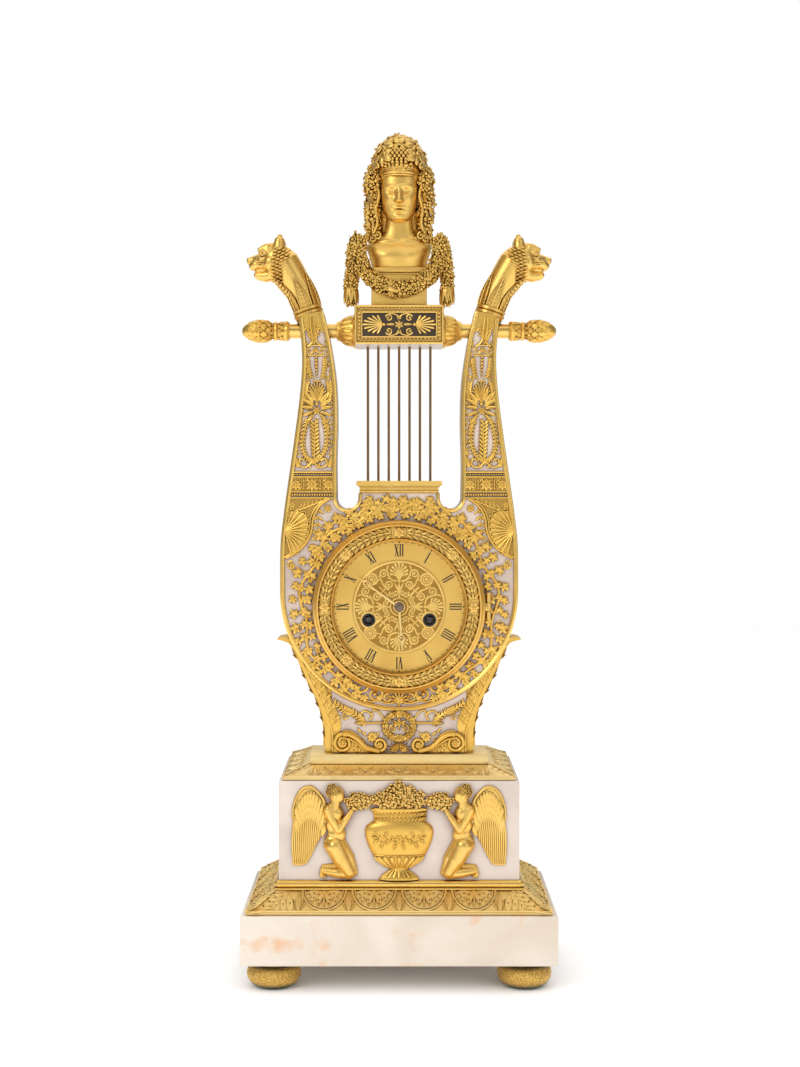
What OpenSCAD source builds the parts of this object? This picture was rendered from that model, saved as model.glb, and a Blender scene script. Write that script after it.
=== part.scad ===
// Lyre mantel clock: alabaster case with gilt bronze mounts, a hinged glazed bezel, and an
// eight-day spring movement with a striking train, a bell and a short pendulum behind the lyre.
// The origin is on the floor under the middle of the base. The dial faces -Y and +Z is up.

/* [Base and plinth] */
// Width of the stone base slab
base_w = 210; // [200:1:230]
// Depth of the stone base slab
base_d = 136; // [130:1:150]
// Height of the stone base slab
base_h = 33; // [26:1:44]
// Radius of a bun foot
foot_r = 18.5; // [14:0.5:20]
// Height of a bun foot
foot_h = 18; // [14:1:24]
// Distance from a foot's centre to the slab's edges
foot_inset = 21; // [20:1:26]
// Ledge of bare slab outside the base moulding
moulding_ledge = 3.5; // [2:0.5:6]
// Horizontal run of the base moulding
moulding_run = 19.5; // [15:0.5:22]
// Height of the base moulding
moulding_h = 13.3; // [9:0.1:18]
// Height of the half-round band above the base moulding
torus_h = 5.7; // [4:0.1:8]
// Height of the stone plinth block
plinth_h = 85.6; // [75:0.1:100]
// Ledge of bare plinth outside the cap moulding
cap_ledge = 2.5; // [1:0.5:4]
// Horizontal run of the cap moulding
cap_run = 14.8; // [11:0.1:17]
// Height of the cap moulding
cap_h = 8; // [6:0.5:12]
// Margin of cap left round the step under the lyre
step_margin = 2.7; // [1.5:0.1:4]
// Height of the step under the lyre
step_h = 7; // [5:0.5:10]
// Depth of the step under the lyre
step_d = 40; // [38:1:44]

/* [Lyre] */
// Thickness of the alabaster lyre
lyre_t = 32; // [26:1:33]
// Radius of the lyre's round bowl
bowl_r = 81.5; // [79:0.5:84]
// Height of the bowl's centre above the step
bowl_rise = 110.4; // [107:0.1:114]
// Half width of the lyre's foot
lyre_foot_w = 46; // [40:1:48]
// Width of the gilt edging on the lyre's front
edging_w = 3; // [2:0.1:4]
// Thickness of the gilt mounts on the lyre's front
mount_t = 1.6; // [1.2:0.1:2]
// Height where the arms spring from the bowl, above the step
arm_rise = 178.4; // [176:0.1:181]
// Radius of the round notch inside each arm
notch_r = 7.5; // [5:0.1:8]
// Radius of the rod that carries the finials and the top block
bar_r = 5; // [3.5:0.1:6]
// Height of that rod above the step
bar_rise = 290.4; // [288:0.1:293]
// Width of the alabaster top block
block_w = 60; // [56:1:64]
// Height of the alabaster top block
block_h = 26.1; // [24:0.1:30]
// Depth of the alabaster top block
block_d = 46; // [40:1:50]
// Length of a pinecone finial
cone_l = 25.5; // [20:0.5:30]
// Radius of a pinecone finial
cone_r = 8.2; // [6:0.1:9.5]
// Diameter of a string
string_d = 1.7; // [1.2:0.1:2.2]
// Distance between neighbouring strings
string_pitch = 7.2; // [6:0.1:8]

/* [Bust] */
// Width of the square base under the bust
herm_w = 40; // [34:1:44]
// Height of the square base under the bust
herm_h = 13; // [10:0.5:16]
// Width of the bust at the shoulders
bust_w = 56; // [50:1:60]
// Radius of the head
head_r = 14.5; // [13:0.5:16]

/* [Dial and bezel] */
// Height of the dial's centre above the bowl's lowest point
dial_rise = 72; // [70:0.1:74]
// Radius of the dial plate
dial_r = 46.8; // [45:0.1:47.5]
// Radius of the middle relief on the dial
medallion_r = 31.7; // [30:0.1:34]
// Inner radius of the hinged bezel
bezel_in_r = 45.2; // [44:0.1:46]
// Outer radius of the hinged bezel
bezel_r = 59; // [57:0.5:60]
// Depth of the hinged bezel
bezel_d = 8.6; // [7.6:0.1:10]
// Length of the minute hand
minute_l = 38; // [33:0.5:42]
// Length of the hour hand
hour_l = 30; // [24:0.5:31]
// Hour shown at rest
rest_hour = 5; // [0:1:11]
// Minute shown at rest
rest_minute = 51; // [0:1:59]

/* [Movement] */
// Outer radius of the brass drum
drum_r = 50; // [49:0.1:50.4]
// Wall of the brass drum
drum_wall = 1.5; // [1:0.1:1.8]
// Distance between the movement plates
plate_gap = 32; // [32:0.5:36]
// Thickness of a movement plate
plate_t = 3; // [2:0.1:3.4]
// Outer radius of a spring barrel
barrel_r = 18; // [15:0.5:18.5]
// Radius of the bell
bell_r = 22; // [18:0.5:23]
// Radius of the pendulum bob
bob_r = 14; // [10:0.5:15]
// Length of the pendulum from its pivot to the bob's centre
pendulum_l = 109.5; // [100:0.5:112]
// Running clearance of a pivot in its hole
run_gap = 0.06; // [0.03:0.01:0.09]

/* [Hidden] */
$fn = 64;

seat_gap = 0.05;
clear = 0.4;
gilt = "goldenrod";
stone = "antiquewhite";
brass = "darkkhaki";
steel = "slategray";

// Heights and depths of the case, from the floor up and from the front back
base_z = foot_h;
plinth_z = base_z + base_h;
moulding_top = plinth_z + moulding_h;
cap_z = plinth_z + plinth_h;
step_z = cap_z + cap_h;
lyre_z = step_z + step_h;
plinth_seat = 1;
plinth_half = base_w / 2 - moulding_ledge - moulding_run - plinth_seat;
plinth_front = -base_d / 2 + moulding_ledge + moulding_run + plinth_seat;
plinth_back = base_d / 2 - moulding_ledge;
cap_half = plinth_half - cap_ledge;
cap_front = plinth_front + cap_ledge;
step_half = cap_half - cap_run - step_margin;
step_front = cap_front + cap_run + step_margin;
lyre_inset = 6;
lyre_front = step_front + lyre_inset;
lyre_back = lyre_front + lyre_t;
mount_front = lyre_front - mount_t;
bowl_bottom = bowl_rise - bowl_r;
dial_z = lyre_z + bowl_bottom + dial_rise;

// Depths of the dial, hands and movement
seat_d = 4;
seat_front = lyre_front - seat_d;
dial_sink = 2;
dial_t = 1.5;
dial_back = seat_front + dial_sink;
dial_front = dial_back - dial_t;
hand_step = 1.6;
hour_front = seat_front - hand_step;
minute_front = hour_front - hand_step;
bezel_back = seat_front - clear;
bezel_front = bezel_back - bezel_d;
plate_sink = 7;
plate_front = lyre_front + plate_sink;
plate_inner = plate_front + plate_t;
plate_inner_back = plate_inner + plate_gap;
plate_back = plate_inner_back + plate_t;
rear_room = 29;
drum_back = plate_back + rear_room;
hand_t = 0.8;

// Places a flat shape drawn in (x, z) between two depths
module between(y0, y1) translate([0, y1, 0]) rotate([90, 0, 0]) linear_extrude(y1 - y0) children();

// The same, with the origin on the dial's centre
module dial_between(y0, y1) translate([0, 0, dial_z]) between(y0, y1) children();

// A round bar along Y through the point p, measured from the dial's centre
module bar_y(p, r, y0, y1) dial_between(y0, y1) translate(p) circle(r);

module mirror_pair() {
    children();
    mirror([1, 0, 0]) children();
}

// A smooth curve through hand-chosen points
function curve_point(a, b, c, d, t) =
    0.5 * (2 * b + (c - a) * t + (2 * a - 5 * b + 4 * c - d) * t * t
        + (3 * b - a - 3 * c + d) * t * t * t);
function curve(p, n = 4) = [
    for (i = [0 : len(p) - 2], k = [0 : n - 1])
        curve_point(p[max(i - 1, 0)], p[i], p[i + 1], p[min(i + 2, len(p) - 1)], k / n),
    p[len(p) - 1]
];
function reversed(p) = [for (i = [len(p) - 1 : -1 : 0]) p[i]];
function mirrored(p) = [for (q = reversed(p)) [-q[0], q[1]]];
function shifted(p, dx) = [for (q = p) [q[0] + dx, q[1]]];

module base_slab() color(stone) difference() {
    translate([-base_w / 2, -base_d / 2, base_z]) cube([base_w, base_d, base_h]);
    tie_rod_holes();
    for (x = [-tie_x, tie_x])
        translate([x, tie_y, base_z - 1]) cylinder(h = tie_recess + 1, r = tie_nut_r + tie_nut_room);
}

foot_round = 0.62;
module bun_feet() color(gilt)
    for (x = [-1, 1], y = [-1, 1])
        translate([x * (base_w / 2 - foot_inset), y * (base_d / 2 - foot_inset), 0])
            rotate_extrude() difference() {
                translate([0, foot_h / 2]) scale([1, foot_h / foot_r * foot_round]) circle(foot_r);
                translate([-2 * foot_r, -foot_r]) square([2 * foot_r, 4 * foot_r]);
                translate([0, -foot_r]) square([2 * foot_r, foot_r]);
                translate([0, foot_h]) square([2 * foot_r, foot_r]);
            }

// A slab that slopes in on the front and the two sides, and is upright at the back
module sloped_slab(half, front, back, z, h, run, lip) difference() {
    translate([-half, front, z]) cube([2 * half, back - front, h]);
    for (s = [-1, 1])
        translate([s * half, back + 1, z + lip]) rotate([90, 0, 0])
            linear_extrude(back - front + 2) polygon([[s, 0], [0, 0], [-s * run, h - lip],
                [-s * run, h], [s, h + 1]]);
    translate([half + 1, front, z + lip]) rotate([90, 0, -90])
        linear_extrude(2 * half + 2) polygon([[1, 0], [0, 0], [-run, h - lip], [-run, h], [1, h + 1]]);
}

module plinth_hole(z, h)
    translate([-plinth_half - seat_gap, plinth_front - seat_gap, z - 1])
        cube([2 * (plinth_half + seat_gap), base_d, h + 2]);

moulding_lip = 2;
module base_moulding() color(gilt) difference() {
    union() {
        sloped_slab(base_w / 2 - moulding_ledge, -base_d / 2 + moulding_ledge, plinth_back,
            plinth_z, moulding_h, moulding_run, moulding_lip);
        translate([-plinth_half, plinth_front, moulding_top])
            cube([2 * plinth_half, plinth_back - plinth_front, torus_h]);
        for (s = [-1, 1])
            translate([s * plinth_half, plinth_back, moulding_top + torus_h / 2])
                rotate([90, 0, 0]) cylinder(h = plinth_back - plinth_front, r = torus_h / 2);
        translate([-plinth_half, plinth_front, moulding_top + torus_h / 2])
            rotate([0, 90, 0]) cylinder(h = 2 * plinth_half, r = torus_h / 2);
        for (s = [-1, 1])
            translate([s * plinth_half, plinth_front, moulding_top + torus_h / 2]) sphere(torus_h / 2);
    }
    plinth_hole(plinth_z, moulding_h + torus_h);
}

module plinth_block() color(stone) difference() {
    translate([-plinth_half, plinth_front, plinth_z])
        cube([2 * plinth_half, plinth_back - plinth_front, plinth_h]);
    tie_rod_holes();
}

cap_lip = 2.6;
module plinth_cap() color(gilt) difference() {
    sloped_slab(cap_half, cap_front, plinth_back, cap_z, cap_h, cap_run, cap_lip);
    tie_rod_holes();
}

module step_slab() color(gilt) difference() {
    translate([-step_half, step_front, step_z]) cube([2 * step_half, step_d, step_h]);
    tie_rod_holes();
}

// Two iron rods that clamp the lyre, step, cap, plinth and base, with a nut under the base
tie_x = 30;
tie_y = (lyre_front + lyre_back) / 2;
tie_r = 2.5;
tie_nut_r = 5;
tie_nut_h = 4;
tie_nut_room = 1.5;
tie_room = 0.2;
tie_end = 2;
tie_recess = 9;
tie_depth = 18;

module tie_rod_holes()
    for (x = [-tie_x, tie_x])
        translate([x, tie_y, 0]) cylinder(h = lyre_z + tie_depth + seat_gap, r = tie_r + tie_room);

module tie_rods() color(steel)
    for (x = [-tie_x, tie_x]) translate([x, tie_y, 0]) {
        translate([0, 0, base_z + tie_end]) cylinder(h = lyre_z + tie_depth - base_z - tie_end, r = tie_r);
        translate([0, 0, base_z + tie_recess - tie_nut_h]) cylinder(h = tie_nut_h, r = tie_nut_r, $fn = 6);
    }

// Relief on the plinth: two kneeling winged figures and an urn between them
relief_t = 3;
relief_h = plinth_h - torus_h - moulding_h;
relief_z = moulding_top + torus_h;
genius_at = [-17, -13];
urn_at = [0, 1];
drawn_h = 66.6;
genius_body = [
    [-26, 16], [-31, 20], [-33, 33], [-27, 42], [-30, 52], [-30, 62], [-26, 70], [-21, 75],
    [-16, 72], [-16, 66], [-20, 61], [-11, 60], [-8, 63], [-7, 57], [-17, 51], [-16, 43], [-9, 33],
    [-7, 18], [-13, 15]
];
genius_wing = [[-32, 62], [-44, 73], [-54, 62], [-57, 40], [-54, 21], [-47, 24], [-40, 34], [-35, 46]];

module genii() color(gilt) mirror_pair()
    between(plinth_front - relief_t, plinth_front) translate([0, relief_z])
        scale([1, relief_h / drawn_h]) translate(genius_at) {
            polygon(curve(concat(genius_body, [genius_body[0]]), 3));
            polygon(curve(concat(genius_wing, [genius_wing[0]]), 3));
        }

urn_side = [
    [0, 0], [13, 0], [12.5, 3], [6, 6], [6, 9], [14, 14.5], [20, 23.5], [23, 32.5], [19, 38.5], [18, 42],
    [19, 46], [17, 51], [18, 57], [9, 62.5], [0, 64.5]
];
module urn_relief() color(gilt) between(plinth_front - relief_t, plinth_front)
    translate([0, relief_z]) scale([1, relief_h / drawn_h]) translate(urn_at)
        polygon(concat(urn_side, mirrored(urn_side)));

// Lyre outlines, in (x, z) above the step, for the right-hand side
// An arm's heights are shares of the way from its spring to the rod, and a bowl's are drops from its centre
arm_x = bowl_r - 4.6;
function on_arm(x, share) = [x, arm_rise + share * (bar_rise - arm_rise)];
function on_bowl(x, drop) = [x, bowl_rise - drop];
shoulder_edge = [
    on_bowl(bowl_r, 0), on_bowl(bowl_r - 0.3, -31.6), on_bowl(bowl_r - 2.5, -52.6), [arm_x, arm_rise]
];
arm_outer = [
    [arm_x, arm_rise], on_arm(72.1, 0.297), on_arm(67.9, 0.58), on_arm(66.2, 0.782), on_arm(66.8, 0.931),
    [68.5, bar_rise + 7.6]
];
arm_inner = [
    [51.9, bar_rise + 12.2], on_arm(47.2, 0.925), on_arm(43.3, 0.684), on_arm(42.4, 0.438), on_arm(43.1, 0.193),
    [42.9, arm_rise]
];
foot_edge = [[lyre_foot_w, 0], on_bowl(lyre_foot_w, 68.4), on_bowl(lyre_foot_w + 10, 50.4)];

module above_step(y0, y1) translate([0, 0, lyre_z]) between(y0, y1) children();

module bowl_shape(inset) {
    intersection() {
        translate([0, bowl_rise]) circle(bowl_r - inset);
        translate([-bowl_r, 0]) square([2 * bowl_r, bowl_rise]);
    }
    polygon(concat(shifted(curve(shoulder_edge), -inset), shifted(mirrored(curve(shoulder_edge)), inset)));
}

module foot_shape() polygon(concat(foot_edge, mirrored(foot_edge)));

notch_x = 35.4;
notch_lift = 4.2;
module notches() for (s = [-1, 1]) translate([s * notch_x, arm_rise + notch_lift - notch_r]) {
    circle(notch_r);
    translate([-notch_r, 0]) square([2 * notch_r, 2 * notch_r]);
}

module lyre_body() color(stone) difference() {
    above_step(lyre_front, lyre_back) {
        bowl_shape(0);
        foot_shape();
    }
    tie_rod_holes();
    above_step(lyre_front - 1, lyre_back + 1) notches();
    dial_between(lyre_front - 1, lyre_back + 1) circle(drum_r + seat_gap);
}

module left_arm() mirror([1, 0, 0]) right_arm();
module right_arm() color(stone) difference() {
    above_step(lyre_front, lyre_back) polygon(concat(curve(arm_outer), curve(arm_inner)));
    bar_hole(bar_r + seat_gap);
}

// The rod through the arms and the top block
bar_y = (lyre_front + lyre_back) / 2;
bar_half = 79;
module along_bar(x0) translate([x0, bar_y, lyre_z + bar_rise]) rotate([0, 90, 0]) children();
module bar_hole(r) along_bar(-bar_half) cylinder(h = 2 * bar_half, r = r);
module crossbar() color(gilt) bar_hole(bar_r);

// Gilt edging on the front of the bowl and the arms
module lyre_edging() color(gilt) {
    difference() {
        above_step(mount_front, lyre_front) bowl_shape(0);
        above_step(mount_front - 1, lyre_front + 1) {
            bowl_shape(edging_w);
            translate([-bowl_r, arm_rise - edging_w]) square([2 * bowl_r, 2 * edging_w]);
        }
    }
    mirror_pair() above_step(mount_front, lyre_front) {
        polygon(concat(curve(arm_outer), shifted(reversed(curve(arm_outer)), -edging_w)));
        polygon(concat(curve(arm_inner), shifted(reversed(curve(arm_inner)), edging_w)));
    }
}

// Pierced foliage mount between the bezel and the edging
pierce_count = 30;
pierce_r = 2.4;
pierce_swell = 0.8;
pierce_ring = bezel_r + 8.5;
pierce_lift = 4;
module pierced_surround() color(gilt) difference() {
    above_step(mount_front, lyre_front) intersection() {
        bowl_shape(edging_w + seat_gap);
        translate([-bowl_r, 0]) square([2 * bowl_r, arm_rise - 2 * notch_r]);
    }
    dial_between(mount_front - 1, lyre_front + 1) {
        circle(bezel_r + clear);
        for (k = [0 : pierce_count - 1]) {
            a = k * 360 / pierce_count;
            translate([cos(a), sin(a)] * (pierce_ring + pierce_lift * sin(a)))
                circle(pierce_r + pierce_swell * sin(a));
        }
    }
}

// Slender relief mount on each arm, a tall lens of foliage
arm_mount_side = [
    on_arm(57.5, 0.068), on_arm(66, 0.193), on_arm(62, 0.318), on_arm(64, 0.479), on_arm(60.5, 0.657),
    on_arm(61, 0.818), on_arm(57, 0.943)
];
arm_mount_in = [
    on_arm(57, 0.943), on_arm(50, 0.818), on_arm(49.5, 0.657), on_arm(47.5, 0.479), on_arm(51, 0.318),
    on_arm(49, 0.193), on_arm(57.5, 0.068)
];
module arm_mounts() color(gilt) mirror_pair() above_step(mount_front, lyre_front)
    polygon(concat(curve(arm_mount_side), curve(arm_mount_in)));

// Volutes, flowers and a foliate mask on the front of the lyre's foot
volute_r = 6;
small_volute_at = [13, 5];
small_volute_r = 4;
foot_strip = 4;
foot_relief = 1;
mask_r = 11;
mask_gap = 0.25;
mask_low = 3.35;
mask_half = (bowl_bottom - mask_gap - mask_low) / 2;
foot_band_top = bowl_rise - 77.4;
module foot_mount() color(gilt) difference() {
    above_step(mount_front - foot_relief, lyre_front) {
        translate([-lyre_foot_w, 0]) square([2 * lyre_foot_w, foot_strip]);
        for (s = [-1, 1]) {
            translate([s * (lyre_foot_w - volute_r), volute_r]) circle(volute_r);
            translate([s * small_volute_at[0], small_volute_at[1]]) circle(small_volute_r);
            polygon([[s * (small_volute_at[0] - 1), small_volute_at[1] + 2],
                [s * (small_volute_at[0] + 3), small_volute_at[1] + 4],
                [s * (lyre_foot_w - 2), foot_band_top], [s * (lyre_foot_w - 6), foot_band_top]]);
        }
        translate([0, mask_low + mask_half]) scale([1, mask_half / mask_r]) circle(mask_r);
    }
    above_step(mount_front - foot_relief - 1, lyre_front + 1)
        translate([0, bowl_rise]) circle(bowl_r + seat_gap);
}

// Acanthus leaf on each side of the foot, curling out under the bowl
leaf_t = 5;
leaf_margin = 3;
leaf_edge = [
    [lyre_foot_w + leaf_t, 0], on_bowl(lyre_foot_w + leaf_t + 0.4, 93), on_bowl(bowl_r - 25.7, 76.4),
    on_bowl(bowl_r - 17.8, 60), on_bowl(bowl_r - 8, 38.4), on_bowl(bowl_r - 3, 34),
    on_bowl(bowl_r + 2.5, 32.4), on_bowl(bowl_r - 1.2, 31)
];
module side_leaves() color(gilt) mirror_pair() difference() {
    above_step(lyre_front + leaf_margin, lyre_back - leaf_margin)
        polygon(concat(curve(leaf_edge), [on_bowl(lyre_foot_w, 31.4), [lyre_foot_w, 0]]));
    above_step(lyre_front, lyre_back) translate([0, bowl_rise]) circle(bowl_r + seat_gap);
    above_step(lyre_front, lyre_back) foot_shape();
}

// Small cornice that the strings end on, and the strings up to the top block
bridge_half = 27;
bridge_h = 8.4;
bridge_z = lyre_z + arm_rise;
bar_in_block = 10.7;
block_z = lyre_z + bar_rise - bar_in_block;
bridge_step = 5;
bridge_lip = 2.2;
string_count = 7;
module string_bridge() color(gilt) translate([-bridge_half, lyre_front, bridge_z]) {
    cube([2 * bridge_half, lyre_t, bridge_step]);
    translate([-bridge_lip, -bridge_lip, bridge_step])
        cube([2 * (bridge_half + bridge_lip), lyre_t + bridge_lip, bridge_h - bridge_step]);
}
module strings() color(gilt)
    for (k = [0 : string_count - 1])
        translate([(k - (string_count - 1) / 2) * string_pitch, bar_y, bridge_z + bridge_h])
            cylinder(h = block_z - bridge_z - bridge_h, r = string_d / 2);

module top_block() color(stone) difference() {
    translate([-block_w / 2, bar_y - block_d / 2, block_z]) cube([block_w, block_d, block_h]);
    bar_hole(bar_r + seat_gap);
}

frame_border = 5;
module block_frame() color(gilt)
translate([-block_w / 2, bar_y - block_d / 2 - mount_t, block_z]) difference() {
    cube([block_w, mount_t, block_h]);
    translate([frame_border, -1, frame_border])
        cube([block_w - 2 * frame_border, mount_t, block_h - 2 * frame_border]);
}

// Leaf cups on the rod, flaring against the block
cup_l = 11.6;
cup_r = 12;
module cups() color(gilt) mirror_pair() along_bar(block_w / 2) rotate_extrude()
    polygon([[bar_r + seat_gap, 0], [cup_r, 0], [cup_r, 1.5], [bar_r + 2, cup_l * 0.6],
        [bar_r + 1, cup_l], [bar_r + seat_gap, cup_l]]);

finial_x = 75.3;
collar_l = 8.2;
collar_r = 6.8;
module finials() color(gilt) mirror_pair() along_bar(finial_x) difference() {
    union() {
        cylinder(h = collar_l, r1 = collar_r - 1, r2 = collar_r);
        translate([0, 0, collar_l]) rotate_extrude() polygon(concat([[0, 0]],
            [for (k = [0 : 12]) [cone_r * pow(sin(35 + 145 * k / 12), 0.8), cone_l * k / 12]]));
    }
    translate([0, 0, -1]) cylinder(h = bar_half - finial_x + 1, r = bar_r + seat_gap);
}

// Lion heads that look outwards, each on a collar at the top of an arm
// Each ball of a lion's neck and head: sideways place, height above the rod, and radius
lion_neck = [[61.5, 13.6, 10], [67.5, 26.6, 10.5], [75, 39.6, 12], [86, 48.1, 12], [98, 45.6, 6]];
ear_at = [82.6, 59.4];
ear_y = 7.5;
ear_r = 4.4;
collar_line = [[70.4, bar_rise + 7.2], [50.9, bar_rise + 12.6]];
collar_up = [1.4, 5];
collar_half = 12;
module lion_ball(p) translate([p[0], bar_y, lyre_z + bar_rise + p[1]]) sphere(p[2], $fn = 24);
module right_lion() color(gilt) difference() {
    union() {
        for (k = [0 : len(lion_neck) - 2]) hull() {
            lion_ball(lion_neck[k]);
            lion_ball(lion_neck[k + 1]);
        }
        for (s = [-1, 1]) translate([0, s * ear_y, 0]) lion_ball([ear_at[0], ear_at[1], ear_r]);
        above_step(bar_y - collar_half, bar_y + collar_half)
            polygon([collar_line[0], collar_line[1], collar_line[1] + collar_up, collar_line[0] + collar_up]);
    }
    above_step(lyre_front - 5, lyre_back + 5) polygon([
        collar_line[0] + [8, -2.2], collar_line[1] + [-8, 2.2], collar_line[1] + [-8, -20],
        collar_line[0] + [8, -20]]);
}
module left_lion() mirror([1, 0, 0]) right_lion();

// Draped female bust with flower-dressed hair, on a square base
bust_z = block_z + block_h;
herm_d = 26;
herm_step = 2;
chest_rise = 13;
chest_z = bust_z + herm_h + chest_rise;
chest_mid = 8;
chest_h = 11;
chin_rise = 40;
head_z = chest_z + chin_rise;
head_lean = 4;
crown_h = 2.48 * head_r;
bust_front = bar_y - herm_d / 2;
module bust() color(gilt) {
    translate([-herm_w / 2, bust_front, bust_z]) cube([herm_w, herm_d, herm_h]);
    translate([-herm_w / 2 + herm_step, bust_front + herm_step, bust_z + herm_h])
        cube([herm_w - 2 * herm_step, herm_d - 2 * herm_step, chest_rise]);
    translate([0, bar_y, chest_z + chest_mid]) scale([bust_w / 2, herm_d / 2 - 0.5, chest_h]) sphere(1);
    translate([0, bar_y, chest_z + chest_mid]) cylinder(h = chin_rise - chest_mid, r = head_r * 0.48);
    translate([0, bar_y - head_lean, head_z]) scale([head_r, head_r * 1.1, head_r * 1.2]) sphere(1);
    translate([0, bar_y + head_lean - 1, head_z + 2])
        scale([head_r * 1.58, head_r * 1.2, head_r * 1.75]) sphere(1);
    translate([0, bar_y, head_z + head_r * 1.2]) cylinder(h = crown_h, r1 = head_r * 1.25, r2 = head_r * 0.5);
}

// Flower garland that hangs from the shoulders across the chest
garland_r = 4.8;
garland_span = 27;
pendant_r = 6;
pendant_h = 26;
pendant_step = 6;
pendant_low = 0.5;
pendant_taper = 1.5;
garland_rise = 38;
module garland() color(gilt) translate([0, bust_front - garland_r - seat_gap, bust_z]) {
    translate([0, 0, garland_rise]) rotate([90, 0, 0]) rotate([0, 0, 180]) rotate_extrude(angle = 180)
        translate([garland_span, 0]) circle(garland_r);
    for (s = [-1, 1]) translate([s * (garland_span + pendant_step), 0, pendant_r + pendant_low]) {
        sphere(pendant_r);
        cylinder(h = pendant_h - pendant_r, r1 = pendant_r, r2 = pendant_r - pendant_taper);
    }
}

// Fixed seat of the bezel, the hinged bezel and its glass
hinge_r = 1.7;
hinge_pin_r = 0.8;
knuckle = 5.6;
module hinge_axis(x, y) translate([x, y, dial_z]) children();
hinge_room = 0.2;
hinge_set = 1.2;
bezel_hinge_x = bezel_r + hinge_r + hinge_room;
bezel_hinge_y = bezel_back - hinge_set;
module knuckle_bore(x, y) hinge_axis(x, y)
    cylinder(h = 8 * knuckle, r = hinge_pin_r + run_gap, center = true);
module outer_knuckles(x, y) for (s = [-1, 1]) hinge_axis(x, y)
    translate([0, 0, s * (knuckle + clear)]) cylinder(h = knuckle, r = hinge_r, center = true);

module bezel_seat() color(gilt) difference() {
    union() {
        dial_between(seat_front, lyre_front) circle(bezel_r);
        outer_knuckles(bezel_hinge_x, bezel_hinge_y);
        for (s = [-1, 1]) hinge_axis(0, 0) {
            translate([bezel_r - 3, seat_front, s * (knuckle + clear) - knuckle / 2])
                cube([bezel_hinge_x - bezel_r + 3 + hinge_r, 2, knuckle]);
            translate([bezel_r + 0.3, bezel_hinge_y, s * (knuckle + clear) - knuckle / 2])
                cube([bezel_hinge_x - bezel_r - 0.3 + hinge_r, seat_front - bezel_hinge_y + 1, knuckle]);
        }
    }
    dial_between(seat_front - 1, lyre_front + 1) circle(dial_r + 0.2);
    knuckle_bore(bezel_hinge_x, bezel_hinge_y);
}

glass_t = 1;
glass_set = 2;
glass_rebate = 1;
glass_y = bezel_front + glass_set;
module bezel() color(gilt) difference() {
    union() {
        translate([0, 0, dial_z]) rotate([90, 0, 0]) rotate_extrude() polygon([
            [bezel_in_r, -bezel_back], [bezel_r, -bezel_back], [bezel_r, -bezel_back + 4],
            [bezel_r - 5, -bezel_front - 1.6], [bezel_r - 8, -bezel_front],
            [bezel_in_r + 1.4, -bezel_front - 1], [bezel_in_r, -bezel_front - 1.6]]);
        hinge_axis(bezel_hinge_x, bezel_hinge_y) cylinder(h = knuckle, r = hinge_r, center = true);
        hinge_axis(0, 0) translate([bezel_r - 4, bezel_hinge_y - hinge_r, -knuckle / 2])
            cube([bezel_hinge_x - bezel_r + 4, hinge_r, knuckle]);
    }
    knuckle_bore(bezel_hinge_x, bezel_hinge_y);
    dial_between(glass_y, bezel_back + 1) circle(bezel_in_r + glass_rebate);
}
module bezel_glass() color("lightcyan", 0.4)
    dial_between(glass_y, glass_y + glass_t) circle(bezel_in_r + glass_rebate - seat_gap);

cover_hinge_room = 0.6;
cover_hinge_x = drum_r + hinge_r + cover_hinge_room;
cover_hinge_y = drum_back - hinge_r;
module hinge_pin(x, y) hinge_axis(x, y) {
    cylinder(h = 3 * knuckle + 2 * clear, r = hinge_pin_r, center = true);
    translate([0, 0, 1.5 * knuckle + clear]) cylinder(h = 1, r = hinge_r);
}
module hinge_pins() color(gilt) {
    hinge_pin(bezel_hinge_x, bezel_hinge_y);
    hinge_pin(cover_hinge_x, cover_hinge_y);
}

// Dial with its winding holes, and the relief in its middle
winder_x = 20.8;
winder_drop = 9;
going_at = [winder_x, -winder_drop];
strike_at = [-winder_x, -winder_drop];
winding_hole_r = 4;
hour_pipe_r = 2.6;
module winding_holes() for (p = [going_at, strike_at]) translate(p) circle(winding_hole_r);
dial_foot_r = 1.5;
dial_foot_ring = 40;
module dial() color(gilt) {
    dial_between(dial_front, dial_back) difference() {
        circle(dial_r);
        circle(hour_pipe_r + clear);
        winding_holes();
    }
    for (a = [30, 150, 270]) bar_y(dial_foot_ring * [cos(a), sin(a)], dial_foot_r, dial_back, plate_front);
}
medallion_t = 0.6;
module dial_medallion() color(gilt) dial_between(dial_front - medallion_t, dial_front) difference() {
    circle(medallion_r);
    circle(hour_pipe_r + clear);
    winding_holes();
}

// Hands: a tapered blade with a round ring near the tip, turned to the time shown at rest
minute_turn = -6 * rest_minute;
hour_turn = -30 * (rest_hour + rest_minute / 60);
moon_r = 2.6;
module hand_shape(l, hub, bore) difference() {
    union() {
        circle(hub);
        polygon([[-1.1, 0], [1.1, 0], [0.7, l * 0.72], [-0.7, l * 0.72]]);
        translate([0, l * 0.72]) circle(moon_r);
        polygon([[-0.9, l * 0.74], [0.9, l * 0.74], [0, l]]);
    }
    circle(bore);
    translate([0, l * 0.72]) circle(moon_r - 1);
}
cannon_r = 1.6;
module minute_hand() color(gilt) dial_between(minute_front, minute_front + hand_t)
    rotate(minute_turn) hand_shape(minute_l, 3.4, cannon_r + seat_gap);
module hour_hand() color(gilt) dial_between(hour_front, hour_front + hand_t)
    rotate(hour_turn) hand_shape(hour_l, 4, hour_pipe_r + seat_gap);

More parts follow.
